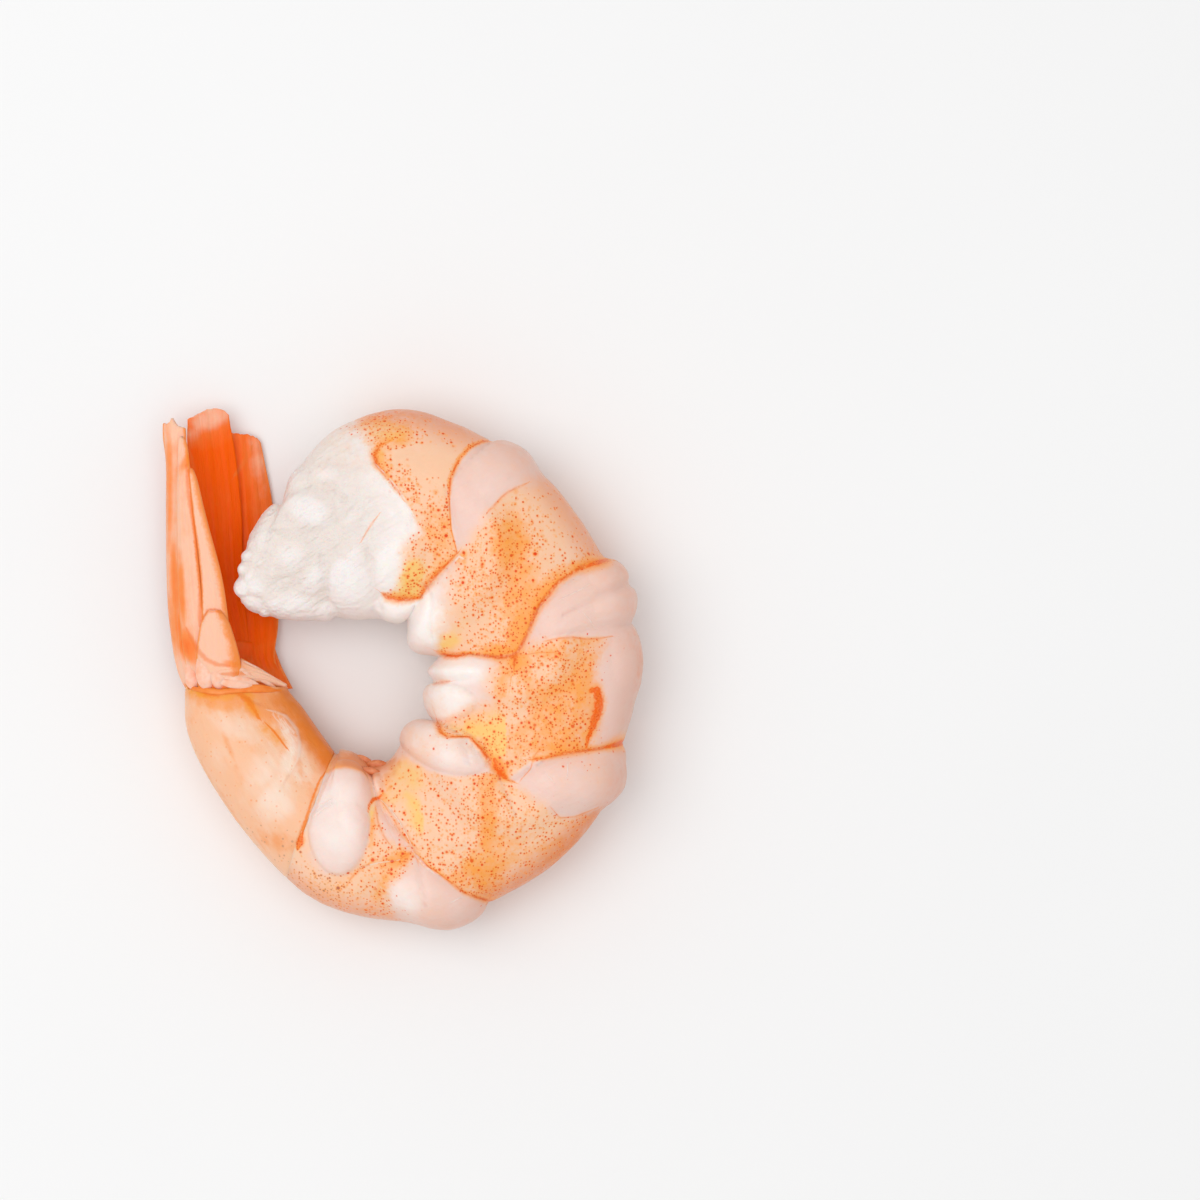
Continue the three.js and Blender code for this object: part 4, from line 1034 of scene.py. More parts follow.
def plain_material(name, first, second, size, roughness, grain):
    """A material whose colour drifts between two, over a fine grain."""
    sheet = start_material(name)
    place = sheet.millimetres()
    colour = sheet.tint(first, second, sheet.cloud(place, size), -0.4, 0.4)
    return finish_surface(
        sheet, colour, roughness, sheet.grain(place, 0.3, grain),
        Subsurface_Weight=0.2, Subsurface_Radius=(1.0, 0.5, 0.3), Subsurface_Scale=0.0005,
    )


def flesh_material(look):
    """The cooked meat: pale flesh, a pinkish veil of skin, pigment bands, rim lines and dots."""
    sheet = start_material("cooked_flesh")
    place = sheet.millimetres()
    broad, middling, fine = (sheet.cloud(place, size) for size in (3.2, 1.1, 0.35))

    # Partly painted shade: the head end is tinted duller than the brightly lit lobes, and broad
    # clouds add duller patches elsewhere.
    white = sheet.uneven("raw", (broad, 0.5))
    white = sheet.tint(look.white, look.white_shade, white, 0.0, 1.0)
    # Painted shade: the hollows of the head end, between its lumps, are tinted darker.
    white = sheet.tint(white, look.sunk, sheet.uneven("sunk", (middling, 0.4)), 0.1, 1.0, 0.8)
    ground = sheet.tint(white, look.veil, sheet.uneven("veil", (broad, 0.35)), 0.0, 1.1)
    # Painted shade towards the back edge, with some painted reflected colour: the flesh and, below,
    # the pigment turn browner there.
    back_shade = sheet.field("back_shade")
    ground = sheet.mix(sheet.times(back_shade, 0.8), ground, look.back_shade)

    pigment = sheet.uneven("pigment", (broad, 0.7), (middling, 0.7), (fine, 0.5))
    pigment = sheet.step(pigment, -1.1, 1.1)
    warm = sheet.uneven("warm", (middling, 0.45), (fine, 0.2))
    skin = sheet.tint(look.peach, look.orange, warm, 0.05, 0.95)
    skin = sheet.tint(skin, look.yolk, sheet.uneven("yolk", (middling, 0.35)), 0.15, 0.9)
    # the pigment's painted shade along the back
    skin = sheet.mix(sheet.times(back_shade, 0.9), skin, look.tan)
    colour = sheet.mix(sheet.times(pigment, 0.95), ground, skin)

    wobble = sheet.total(sheet.times(fine, 1.1), sheet.times(middling, 0.5))
    broken = sheet.step(sheet.total(fine, middling), -0.55, 0.25)
    rim_away, faint_away = sheet.line_away("rim"), sheet.line_away("faint_rim")
    for away, strength in ((rim_away, 0.95), (faint_away, 0.45)):
        away = sheet.total(away, wobble)
        colour = sheet.tint(colour, look.orange, away, 3.2, 0.6, 0.7 * strength)
        colour = sheet.tint(colour, look.rim, away, 1.35, 0.3, broken, strength)
    away = sheet.total(sheet.line_away("stain", 0.9), wobble)
    colour = sheet.tint(colour, look.orange, away, 2.4, 1.0, 0.6)
    colour = sheet.tint(colour, look.stain, away, 1.35, 0.7, sheet.sloped(broken, 0.3, 0.7))

    density = sheet.times(sheet.field("dots"), sheet.sloped(pigment, 0.94, 0.06))
    near_rim = sheet.times(sheet.step(faint_away, 2.6, 0.8), 0.7)
    near_rim = sheet.times(sheet.most(sheet.step(rim_away, 4.0, 0.8), near_rim), pigment)
    wanted = sheet.most(density, sheet.most(near_rim, sheet.step(away, 1.2, 0.2)))
    dot_tint = sheet.mix(sheet.field("grey"), look.dot, look.grey_dot)
    for spacing, radius, share, strength in DOT_LAYERS:
        dot = sheet.dots(place, spacing, radius, sheet.times(wanted, share))
        colour = sheet.mix(sheet.times(dot["Halo"], 0.5, pigment), colour, look.orange)
        tint = sheet.mix(sheet.times(dot["Tone"], 0.55), dot_tint, look.rim)
        body = sheet.sloped(dot["Tone"], -0.25, strength)
        colour = sheet.mix(sheet.times(dot["Mask"], body), colour, tint)

    # The belly skin by the ring: browner, partly its own tone and partly painted shade.
    brown = sheet.uneven("brown", (middling, 0.5))
    colour = sheet.tint(colour, look.brown, brown, 0.15, 0.9, 0.9)
    # Painted shade: where the skin sinks into creases and valleys its colour is tinted darker.
    colour = sheet.mix(sheet.times(sheet.field("hollow_shade"), 0.35), colour, look.hollow_shade)
    film = sheet.step(sheet.line_away("film"), 1.6, 0.4)
    colour = sheet.mix(sheet.times(film, broken, 0.6), colour, look.film)
    # The fine grooves are sunk in the height below and tinted with the same painted shade.
    groove = sheet.step(sheet.line_away("groove"), 2.4, 0.0)
    colour = sheet.mix(sheet.times(groove, 0.1), colour, look.hollow_shade)

    raw = sheet.field("raw")
    fibres = sheet.cloud(sheet.drawn_out(place, 32, 4.0, 0.7), 0.8)
    height = sheet.total(
        sheet.grain(place, 0.9, 0.05),
        sheet.grain(place, 0.22, 0.018),
        sheet.times(sheet.grain(place, 0.5, 0.22), raw),
        sheet.times(fibres, raw, 0.14),
        sheet.times(fibres, sheet.math("SUBTRACT", 1.0, pigment), 0.05),
        sheet.times(film, 0.03),
        sheet.times(groove, -0.03),
    )
    return finish_surface(
        sheet, colour, sheet.uneven(look.roughness, (middling, 0.12), (film, -0.1)), height,
        Subsurface_Weight=0.32, Subsurface_Radius=(1.0, 0.5, 0.35), Subsurface_Scale=look.depth,
        Specular_IOR_Level=0.17, Coat_Weight=0.12, Coat_Roughness=0.14,
    )


def shell_material(look):
    """The smooth shell of the last ring, with its pale panes, orange streaks and torn rim."""
    sheet = start_material("ring_shell")
    place = sheet.millimetres()
    broad, middling, fine = (sheet.cloud(place, size) for size in (3.0, 0.9, 0.3))
    streaks = sheet.cloud(sheet.drawn_out(place, -58, 3.0, 0.9), 0.8)
    colour = look.shell
    for field, clouds, low, high, paint in (
        ("pale", [(broad, 0.6), (streaks, -0.3)], 0.1, 1.0, look.pane),
        ("warm", [(middling, 0.45), (streaks, 0.4)], 0.12, 1.0, look.streak),
        ("yolk", [(middling, 0.4), (fine, 0.3)], 0.15, 1.1, look.golden),
        # the brown side towards the belly is partly painted shade
        ("brown", [(middling, 0.3)], 0.1, 1.0, look.belly),
    ):
        colour = sheet.tint(colour, paint, sheet.uneven(field, *clouds), low, high)
    wobble = sheet.total(sheet.times(fine, 1.2), sheet.times(middling, 0.6))
    away = sheet.total(sheet.line_away("rim"), wobble)
    colour = sheet.tint(colour, look.stain, away, 1.8, 0.5, 0.85)
    away = sheet.uneven(sheet.line_away("torn_rim"), (wobble, 0.5))
    colour = sheet.tint(colour, look.torn, away, 1.8, 0.2, 0.4)
    for spacing, radius, density, strength, paint in (
        (0.5, 0.095, 0.5, 0.4, look.stain),
        (0.45, 0.11, sheet.field("dots"), 0.5, look.grey_dot),
    ):
        dot = sheet.dots(place, spacing, radius, density)
        colour = sheet.mix(sheet.times(dot["Mask"], strength), colour, paint)
    fine_grain = sheet.total(sheet.grain(place, 0.8, 0.05), sheet.grain(place, 0.2, 0.012))
    return finish_surface(
        sheet, colour, sheet.uneven(look.roughness, (middling, 0.12)),
        sheet.uneven(fine_grain, (streaks, 0.05)),
        Subsurface_Weight=0.3, Subsurface_Radius=(1.0, 0.5, 0.3), Subsurface_Scale=0.0012,
        Specular_IOR_Level=0.2, Coat_Weight=0.1, Coat_Roughness=0.2,
    )


def fan_material(name, look, bright, margin):
    """The thin shell of the tail fan: pale ribs and orange streaks that run along each blade."""
    sheet = start_material(name)
    place = sheet.millimetres()
    middling, fine = sheet.cloud(place, 1.3), sheet.cloud(place, 0.35)
    lengthwise = sheet.take("UV", "ShaderNodeUVMap", {}, uv_map="along")
    streaks = sheet.cloud(sheet.mapped(lengthwise, (2.6, 0.16, 1.0)), 1.0)
    hairs = sheet.cloud(sheet.mapped(lengthwise, (9.0, 0.5, 1.0)), 1.0)
    strong = look.streakiness
    deep = sheet.uneven("deep", (streaks, strong), (hairs, 0.5 * strong), (middling, 0.22))
    colour = sheet.tint(look.pale, bright, deep, 0.0, 0.55)
    colour = sheet.tint(colour, look.deep, deep, 0.45, 1.05)
    wobble = sheet.total(sheet.times(fine, 0.9), sheet.times(middling, 0.7))
    away = sheet.total(sheet.math("ABSOLUTE", sheet.field("margin")), wobble)
    colour = sheet.tint(colour, margin, away, 1.8, 0.4, 0.8)
    # The dark lines: partly painted shade in the gaps between blades.
    away = sheet.total(sheet.line_away("dark_line"), wobble)
    colour = sheet.tint(colour, look.dark_line, away, 2.2, 0.3, 0.55)
    return finish_surface(
        sheet, colour, sheet.uneven(look.roughness, (streaks, 0.15), (fine, 0.1)),
        sheet.uneven(sheet.grain(place, 0.3, 0.02), (hairs, 0.02), (streaks, 0.05)),
        Subsurface_Weight=0.25, Subsurface_Radius=(1.0, 0.35, 0.15), Subsurface_Scale=0.0008,
        Specular_IOR_Level=0.08, Coat_Weight=0.03, Coat_Roughness=0.22,
    )


# The flesh
def flesh_relief(p, look):
    """How far the skin stands out of the plain loft over points of it, and its painted hollow
    shade.
    """
    x, y = p[:, 0], p[:, 1]
    rise = np.zeros(len(x))
    for points in CREASES:
        line = along(points, np.linspace(0, len(points) - 1, 29)).tolist()
        d, share = line_distance(line, x, y)
        pinch = np.hypot(x - points[PINCH][0], y - points[PINCH][1])
        from_pinch = np.minimum(1, pinch / PINCH_REACH)
        near = np.clip(d / BULGE_REACH, 0, 1)
        far = np.clip(d / BULGE_REACH - 1, 0, 1)
        bulge = np.sqrt(1 - (1 - near) ** 2) * (1 - far * far * (3 - 2 * far))
        deep = CREASE_DEPTH * (SHALLOW_AT_PINCH + (1 - SHALLOW_AT_PINCH) * from_pinch)
        deep *= SHALLOW_AT_BACK + (1 - SHALLOW_AT_BACK) * smooth(share, 3, 9)
        behind = from_pinch * BULGE_RISE * bulge
        behind -= deep * np.exp(-np.maximum(d, 0) / CREASE_FALL)
        before = -look.lip_depth * np.exp(np.minimum(d, 0) / LIP_FALL)
        rise += np.where(d < 0, before, behind)
        # folds that fan out from the pinch over the pale flesh behind the crease
        turn = np.arctan2(y - points[PINCH][1], x - points[PINCH][0])
        folds = np.sin(FOLDS_ROUND * turn + 5 * noise(p, 2.6, 5)) * (0.6 + 0.8 * noise(p, 2.0, 6))
        reach = smooth(pinch, 0.7, 2.2) * (1 - smooth(pinch, 6.5, 10.0))
        rise += look.fold_depth * folds * reach * smooth(d, -1.4, 0.3)
    head = swell(HEAD_LOBES, x, y, HEAD_LOBE_EDGE)
    soft = swell(SOFT_LOBES, x, y, SOFT_LOBE_EDGE)
    rise += np.max([swell(LOBES, x, y, LOBE_EDGE), soft, head], axis=0)
    rise -= VALLEY_DEPTH * np.exp(-stroke(VALLEYS, x, y) ** 2)
    torn = spots(TORN, x, y)
    rise += look.unevenness * layers(p, 3.0, 3, 21)
    rise += torn * look.torn_depth * layers(p, 2.2, 3, 31, 0.45)
    fibres = crumpled(turned(p, -38, 4.5), 0.7, 2, 41) - 0.3
    rise += look.fibre_depth * fibres * np.maximum(torn, 0.5 * spots(FIBROUS, x, y))
    # the second value places painted shade in the head end, away from its lobes
    return rise, (1 - smooth(head, 0.05, 0.45)) * spots(HEAD_END, x, y)


def flesh_stations(count):
    """Stations of the bare flesh, evenly spaced a little outside its middle line."""
    u = np.linspace(NECK, RING_START - 0.16, 3000)
    s = along(BODY, u)
    path = 0.35 * s[:, 0:2] + 0.65 * s[:, 2:4]
    length = np.concatenate([[0], np.cumsum(np.hypot(*np.diff(path, axis=0).T))])
    return np.interp(np.linspace(0, length[-1], count), length, u)


def ring_edge(a):
    """The station of the shell ring's head edge at angle a."""
    return RING_START + RING_BOW * np.sin(a) ** 2


def grid(stations, angles):
    """Every pair of a station and an angle, row by row."""
    return (v.ravel() for v in np.meshgrid(stations, angles, indexing="ij"))


def build_flesh(look):
    angles = np.concatenate([
        np.linspace(0, math.pi, look.flank_columns, endpoint=False),
        np.linspace(math.pi, 2 * math.pi, look.flank_columns // 2, endpoint=False),
    ])
    stations = np.concatenate([
        -1 + (NECK + 1) * np.arange(1, look.head_rows) / look.head_rows,
        flesh_stations(look.rows),
        np.linspace(RING_START - 0.15, RING_START + 0.42, 22),  # where it dives under the ring
        np.linspace(RING_START + 0.6, RING_END - 0.03, 8),  # the plug inside the ring
    ])
    rows, columns = len(stations), len(angles)
    u, a = grid(stations, angles)
    edge = ring_edge(a)
    plain = skin_point(u, a)
    relief, sunk = flesh_relief(plain, look)
    upper = smooth(np.sin(a), -0.15, 0.2)
    fade = edge - 0.34 + 0.18 * upper
    relief = relief * (1 - smooth(u, fade, fade + 0.18))
    p = plain + outward(skin_point, u, a) * relief[:, None]
    tucked = loft_point(np.maximum(u, NECK), a, SHELL_WALL + CLEARANCE + 0.05)
    p = p + (tucked - p) * smooth(u, edge + 0.06, edge + 0.18)[:, None]
    snout = skin_point(np.array([-1.0]), np.array([0.0]))
    ends = loft_point(np.full(2, RING_END), np.array([0.0, math.pi]))
    points = np.vstack([p, snout, ends.mean(axis=0, keepdims=True)])
    points[:, 2] = np.maximum(points[:, 2] - SQUASH, 0)
    faces = np.vstack([
        ring_faces(rows, columns),
        pole_faces(0, columns, rows * columns, False),
        pole_faces(rows - 1, columns, rows * columns + 1, True),
    ])
    x, y = points[:, 0], points[:, 1]
    past_front, _ = line_distance(FRONT, x, y)
    pad = lambda values: np.append(values, [0, 0])  # for the snout and the end of the plug
    egg = np.maximum(inside_lobe(LOBES[0], x, y), inside_lobe(LOBES[1], x, y))
    egg -= 9 * (1 - pad(upper))
    skin = np.minimum(patch(PIGMENT.values(), x, y), 1.4) - 2.4 * spots(FADED, x, y)
    fields = {
        "pigment": np.minimum(skin, -egg / 0.25),
        "rim": stroke(RIM_LINES, x, y),
        "faint_rim": stroke(FAINT_LINES, x, y),
        "stain": stroke(STAINS, x, y),
        "warm": spots(WARM, x, y) - spots(PALE, x, y),
        "yolk": np.maximum(spots(YOLK, x, y), np.clip(patch(YOLK_PATCHES, x, y), 0, 1)),
        "dots": spots(DOTS, x, y),
        "film": stroke(FILMS, x, y),
        "groove": stroke(GROOVES, x, y),
        "grey": spots(GREY, x, y) * (np.sin(pad(a)) > 0),
        "veil": smooth(past_front, -2.5, 1.5) - spots(BARE, x, y),
        # painted shade, with some painted reflected colour, strongest along the back
        "back_shade": smooth(pad(np.cos(a)), 0.62, 1.0) * smooth(past_front, -3.0, 2.0)
        * np.minimum(0.55 + spots(BACK_SHADE, x, y), 0.8),
        "brown": spots(BROWN, x, y) * smooth(-egg, -0.1, 0.3),
        "raw": spots(HEAD_END, x, y),
        # painted shade of the head end's hollows
        "sunk": pad(sunk),
        # painted shade where the skin sinks into creases and valleys
        "hollow_shade": smooth(-pad(relief), 0.12, 0.6),
    }
    add_reaches(fields, "rim", "faint_rim", "stain", "film", "groove")
    return make_piece("prawn_flesh", points, faces, fields)


# The shell ring
def ring_relief(p, u, a):
    """How far the shell stands out of the plain loft: its lip, its torn flake and a fold."""
    x, y = p[:, 0], p[:, 1]
    upper = smooth(np.sin(a), 0.0, 0.3)
    rise = (0.16 * spots(RING_LIP, x, y) - 0.14) * (1 - smooth(u - ring_edge(a), 0.0, 0.14))
    rise += 0.05 * smooth(u, RING_END - 0.5, RING_END - 0.1)
    d, _ = line_distance(FLAKE_EDGE, x, y)
    rise -= upper * 0.10 * smooth(d, -0.1, 0.3) * (1 - smooth(d, 1.0, 3.0))
    rise += upper * 0.06 * np.exp(-((d + 0.5) / 0.5) ** 2)
    rise += 0.05 * layers(turned(p, -55, 2.5), 2.4, 3, 61)
    fold, _ = line_distance(RING_FOLD, x, y)
    return rise + 0.10 * np.exp(-(fold / 0.5) ** 2) * upper


def build_shell_ring(look):
    rows, inner_rows, columns = look.rows, 20, look.columns
    angles = np.linspace(0, 2 * math.pi, columns, endpoint=False)
    t, a = grid(np.append(np.linspace(0, 1, rows), np.linspace(1, 0, inner_rows)), angles)
    inner = np.arange(len(t)) >= rows * columns
    start = ring_edge(a)
    around = np.column_stack([3 * np.cos(a), 3 * np.sin(a), a * 0])
    u = start + (RING_END + 0.16 * layers(around, 1.0, 3, 71) - start) * t
    outer_point = loft_point(u, a)
    relief = ring_relief(outer_point, u, a)
    outer_point = outer_point + outward(loft_point, u, a) * relief[:, None]
    wall = SHELL_WALL - SHELL_TIP_THIN * smooth(t, 0.90, 1.0)
    wall -= SHELL_HEAD_THIN * (1 - smooth(t, 0.0, 0.04))
    points = np.where(inner[:, None], loft_point(u, a, wall), outer_point)
    points[:, 2] = np.maximum(points[:, 2] - SQUASH, 0)
    x, y = points[:, 0], points[:, 1]
    upper = smooth(np.sin(a), -0.1, 0.3)
    fields = {
        "pale": spots(RING_PALE, x, y),
        "warm": spots(RING_WARM, x, y),
        "yolk": spots(RING_YOLK, x, y) * upper,
        "brown": spots(RING_BROWN, x, y),
        "rim": stroke(RING_LINES, x, y),
        "torn_rim": stroke([FLAKE_RIM, *FLAKE_FIBRES], x, y) + 40 * (1 - upper),
        "dots": spots(RING_DOTS, x, y) * upper,
    }
    add_reaches(fields, "rim", "torn_rim")
    faces = ring_faces(rows + inner_rows, columns, looped=True)
    return make_piece("prawn_shell_ring", points, faces, fields)


# The fan
def build_blade(name, shape, look):
    """A thin blade lofted through stations of left x, y, z, right x, y, z, from root to tip."""
    stations = np.array(shape["stations"], float)
    last = len(stations) - 1
    rows, columns, seed = look.rows, look.columns, shape["seed"]
    across = np.linspace(-1, 1, columns + 1)
    ring = 2 * len(across)
    v = np.repeat(np.linspace(0, 1, rows), ring)
    w = np.tile(np.concatenate([across, across[::-1]]), rows)
    face = np.tile(np.repeat([1.0, -1.0], len(across)), rows)
    nothing = np.zeros(len(w))
    often, notch = shape["jag"]
    jag = layers(np.column_stack([w * often, nothing, nothing]), 1.0, 3, seed)
    crown = np.interp(w, *np.array(shape.get("crown", [(-1, 1), (1, 1)]), float).T)
    short = 1 - crown + notch * np.clip(0.5 + 0.8 * jag, 0, 1)
    reach = v - short * smooth(v, 0.80, 1.0)
    edges = along(stations, reach * last)
    left, right = edges[:, :3], edges[:, 3:]
    ahead = along(stations, np.minimum(reach + 0.02, 1) * last)[:, :3]
    behind = along(stations, np.maximum(reach - 0.02, 0) * last)[:, :3]
    out = np.cross(right - left, ahead - behind)
    out /= np.linalg.norm(out, axis=1)[:, None]
    tip = shape.get("tip", 0.05)
    narrow = 1.0 + nothing
    if tip:
        narrow = np.sqrt(1 - np.clip((v - 1 + tip) / (tip * 1.25), 0, 1) ** 2)
    plan = left + (right - left) * (0.5 + w * narrow / 2)[:, None]
    width = np.linalg.norm(right - left, axis=1)
    steps = np.linalg.norm(np.diff(stations[:, :3], axis=0), axis=1)
    run = np.interp(reach * last, np.arange(last + 1), np.append(0, np.cumsum(steps)))
    arch = shape["camber"] * (1 - w * w)
    for at, rise, wide in shape["ribs"]:
        arch += rise * np.exp(-(((w - at) * width / 2) / wide) ** 2) * smooth(v, 0.0, 0.1)
    strand = np.column_stack([w * width / 2 / 0.55, run / 7.0, nothing + seed])
    arch += look.ripple * layers(strand, 1.0, 3, seed + 3)
    half = shape["thickness"] / 2 * np.maximum(0.3, np.sqrt(np.maximum(0, 1 - w**4)))
    points = plan + out * ((arch * narrow) + face * half)[:, None]
    points[:, 2] = np.maximum(points[:, 2], 0.02)
    faces = np.vstack([
        ring_faces(rows, ring), zip_faces(0, ring, False), zip_faces(rows - 1, ring, True),
    ])
    x, y = points[:, 0], points[:, 1]
    seen = face * out[0, 2] > 0
    side = np.full(len(w), FAR)
    for from_edge, wide in zip((1 + w, 1 - w), shape["margins"]):
        if wide:
            side = np.minimum(side, from_edge * width / 2 / wide)
    fields = {
        "deep": shape["deep"] + spots(FAN_DEEP, x, y) - spots(FAN_PALE, x, y),
        "margin": side,
        "dark_line": stroke(FAN_LINES, x, y) + np.where(seen, 0, 40),
    }
    add_reaches(fields, "dark_line")
    uv = np.column_stack([w * width / 2 + seed * 3.1, run])
    return make_piece("prawn_" + name, points, faces, fields, uv)


# Trim that follows a path, made by Geometry Nodes
def strand_tree():
    """Runs a rounded flat strand along each line of its mesh, as wide as its field width says."""
    inputs = {
        "Geometry": "Geometry", "Flatness": "Float", "Sides": "Int", "Pieces": "Int",
        "Material": "Material",
    }
    sheet, given, out = new_tree(
        "prawn_strands", "GeometryNodeTree", inputs, {"Geometry": "Geometry"}
    )
    curve = sheet.take("Curve", "GeometryNodeMeshToCurve", {"Mesh": given["Geometry"]})
    curve = sheet.take(
        "Curve", "GeometryNodeCurveSplineType", {"Curve": curve}, spline_type="CATMULL_ROM"
    )
    evenly = {"Curve": curve, "Count": given["Pieces"]}
    width = sheet.take(
        "Attribute", "GeometryNodeInputNamedAttribute", {"Name": "width"}, data_type="FLOAT"
    )
    circle = {"Resolution": given["Sides"], "Radius": 1.0}
    circle = sheet.take("Curve", "GeometryNodeCurvePrimitiveCircle", circle, mode="RADIUS")
    squash = sheet.take(0, "ShaderNodeCombineXYZ", {0: 1.0, 1: given["Flatness"], 2: 1.0})
    profile = {"Geometry": circle, "Scale": squash}
    strand = sheet.take("Mesh", "GeometryNodeCurveToMesh", {
        "Curve": sheet.take("Curve", "GeometryNodeResampleCurve", evenly),
        "Scale": width,
        "Profile Curve": sheet.take("Geometry", "GeometryNodeTransform", profile),
        "Fill Caps": True,
    })
    for kind, more in (
        ("GeometryNodeRealizeInstances", {}),
        ("GeometryNodeSetShadeSmooth", {}),
        ("GeometryNodeSetMaterial", {"Material": given["Material"]}),
    ):
        strand = sheet.take("Geometry", kind, {"Geometry": strand, **more})
    sheet.feed(out["Geometry"], strand)
    return sheet.tree


def path_mesh(name, paths):
    """A mesh of lines from paths of x, y, z and half width in millimetres."""
    rows = np.concatenate(paths) * MM
    starts = np.cumsum([0] + [len(path) for path in paths])
    edges = [(i, i + 1) for i in range(len(rows) - 1) if i + 1 not in starts]
    mesh = bpy.data.meshes.new(name)
    mesh.from_pydata(rows[:, :3].tolist(), edges, [])
    mesh.attributes.new("width", "FLOAT", "POINT").data.foreach_set("value", rows[:, 3])
    return mesh


def grown(name, carrier_mesh, tree, **values):
    """The plain mesh object that a geometry tree makes from a carrier mesh."""
    carrier = placed(name + "_carrier", carrier_mesh)
    modifier = carrier.modifiers.new("grow", "NODES")
    modifier.node_group = tree
    for item in tree.interface.items_tree:
        if item.item_type == "SOCKET" and item.in_out == "INPUT" and item.name in values:
            modifier[item.identifier] = values[item.name]
    carrier.update_tag()
    seen = carrier.evaluated_get(bpy.context.evaluated_depsgraph_get())
    mesh = bpy.data.meshes.new_from_object(seen)
    bpy.data.objects.remove(carrier)
    mesh.name = name
    return placed(name, mesh)


# Settings that a user may change
def count(name, description, default, lowest, highest):
    return IntProperty(
        name=name, description=description, default=default, min=lowest, max=highest
    )


def amount(name, description, default, highest, lowest=0, **more):
    return FloatProperty(
        name=name, description=description, default=default, min=lowest, max=highest, **more
    )


def roughness(description, default):
    return amount("Roughness", description, default, 1, subtype="FACTOR")


def paint(name, description, *levels):
    return FloatVectorProperty(
        name=name, description=description, subtype="COLOR", size=3, min=0, max=1,
        default=srgb(*levels),
    )


class PrawnFleshSettings(bpy.types.PropertyGroup):
    rows: count("Rows", "Rings of faces along the flesh", 340, 60, 380)
    head_rows: count("Head rows", "Rings of faces over the cut head end", 36, 8, 60)
    flank_columns: count(
        "Flank columns", "Faces round the upper flank; the lower has half", 142, 24, 150
    )
    unevenness: amount("Unevenness", "Swell of the skin, in millimetres", 0.07, 0.5)
    lip_depth: amount(
        "Lip depth", "Fall of the skin towards a crease, in millimetres", 0.22, 0.6
    )
    fold_depth: amount(
        "Fold depth", "Depth of the fine folds behind a crease, in millimetres", 0.02, 0.3
    )
    torn_depth: amount(
        "Torn depth", "Depth of the torn flesh at the head, in millimetres", 0.16, 2
    )
    fibre_depth: amount("Fibre depth", "Depth of the torn fibres, in millimetres", 0.08, 1)
    depth: amount(
        "Light depth", "How far light travels in the meat", 0.0012, 0.01, unit="LENGTH"
    )
    roughness: roughness("Roughness of the moist skin", 0.4)
    white: paint("White", "The cooked white meat", 253, 243, 238)
    # Also the head end's duller tone, partly painted shade
    white_shade: paint("White shade", "Its duller patches", 246, 238, 235)
    # Painted shade in the hollows of the head end
    sunk: paint("Sunk", "The hollows of the cut head end", 236, 223, 214)
    veil: paint("Veil", "The pinkish skin over the pale meat", 242, 206, 193)
    # Painted shade along the back, with some painted reflected colour: for the pale flesh and for
    # the pigment
    back_shade: paint("Blush", "The browner tint along the back", 222, 172, 152)
    tan: paint("Tan", "The browner pigment along the back", 224, 108, 40)
    # Partly painted shade, where the belly lies low by the shell ring
    brown: paint("Brown", "The browned skin at the belly", 232, 150, 104)
    peach: paint("Peach", "The palest pigment", 253, 202, 165)
    orange: paint("Orange", "The strong pigment", 255, 165, 70)
    yolk: paint("Yolk", "The yellow patches", 253, 202, 114)
    rim: paint("Rim", "The thin lines at the segments' edges", 234, 96, 0)
    stain: paint("Stain", "The dark orange streaks", 246, 100, 0)
    dot: paint("Dot", "The pigment dots", 230, 68, 0)
    grey_dot: paint("Grey dot", "The dots near the shell ring", 176, 124, 98)
    film: paint("Film", "The pale films of membrane", 254, 240, 230)
    # Painted shade for the creases, valleys and grooves of the flesh
    hollow_shade: paint("Hollow", "The tint in the creases", 246, 200, 176)


class PrawnShellSettings(bpy.types.PropertyGroup):
    rows: count("Rows", "Rings of faces along the shell ring", 130, 20, 200)
    columns: count("Columns", "Faces round the shell ring", 170, 24, 220)
    roughness: roughness("Roughness of the shell", 0.38)
    shell: paint("Shell", "The shell", 254, 192, 154)
    pane: paint("Pane", "Its pale areas", 254, 218, 198)
    streak: paint("Streak", "Its orange streaks", 252, 160, 100)
    golden: paint("Golden", "The golden blotches at the collar", 253, 158, 58)
    # Partly painted shade on the side towards the belly
    belly: paint("Belly", "The brown side towards the belly", 240, 134, 50)
    stain: paint("Stain", "Its dark orange lines", 250, 128, 22)
    torn: paint("Torn", "The pale torn rim", 254, 230, 218)
    grey_dot: paint("Grey dot", "The dots near its head edge", 176, 126, 104)


class PrawnFanSettings(bpy.types.PropertyGroup):
    rows: count("Rows", "Rings of faces along a blade", 150, 12, 260)
    columns: count("Columns", "Faces across each side of a blade", 34, 6, 60)
    ripple: amount("Ripple", "Height of the lengthwise ripples, in millimetres", 0.035, 0.3)
    streakiness: amount("Streakiness", "Strength of the lengthwise streaks", 0.12, 2)
    roughness: roughness("Roughness of the blades", 0.38)
    pale: paint("Pale", "The pale shell of the outer blades", 254, 198, 168)
    bright: paint("Bright", "Their orange streaks", 254, 146, 78)
    deep: paint("Deep", "The deep colour of the inner blades", 255, 100, 0)
    inner_bright: paint("Inner bright", "The inner blades' lighter streaks", 250, 120, 48)
    # The root plate's wide one is partly painted shade
    margin: paint("Margin", "The bright edges", 253, 142, 44)
    # Partly painted shade, in the gaps between the upper blades
    dark_line: paint("Dark line", "The dark lines between ribs", 244, 126, 54)


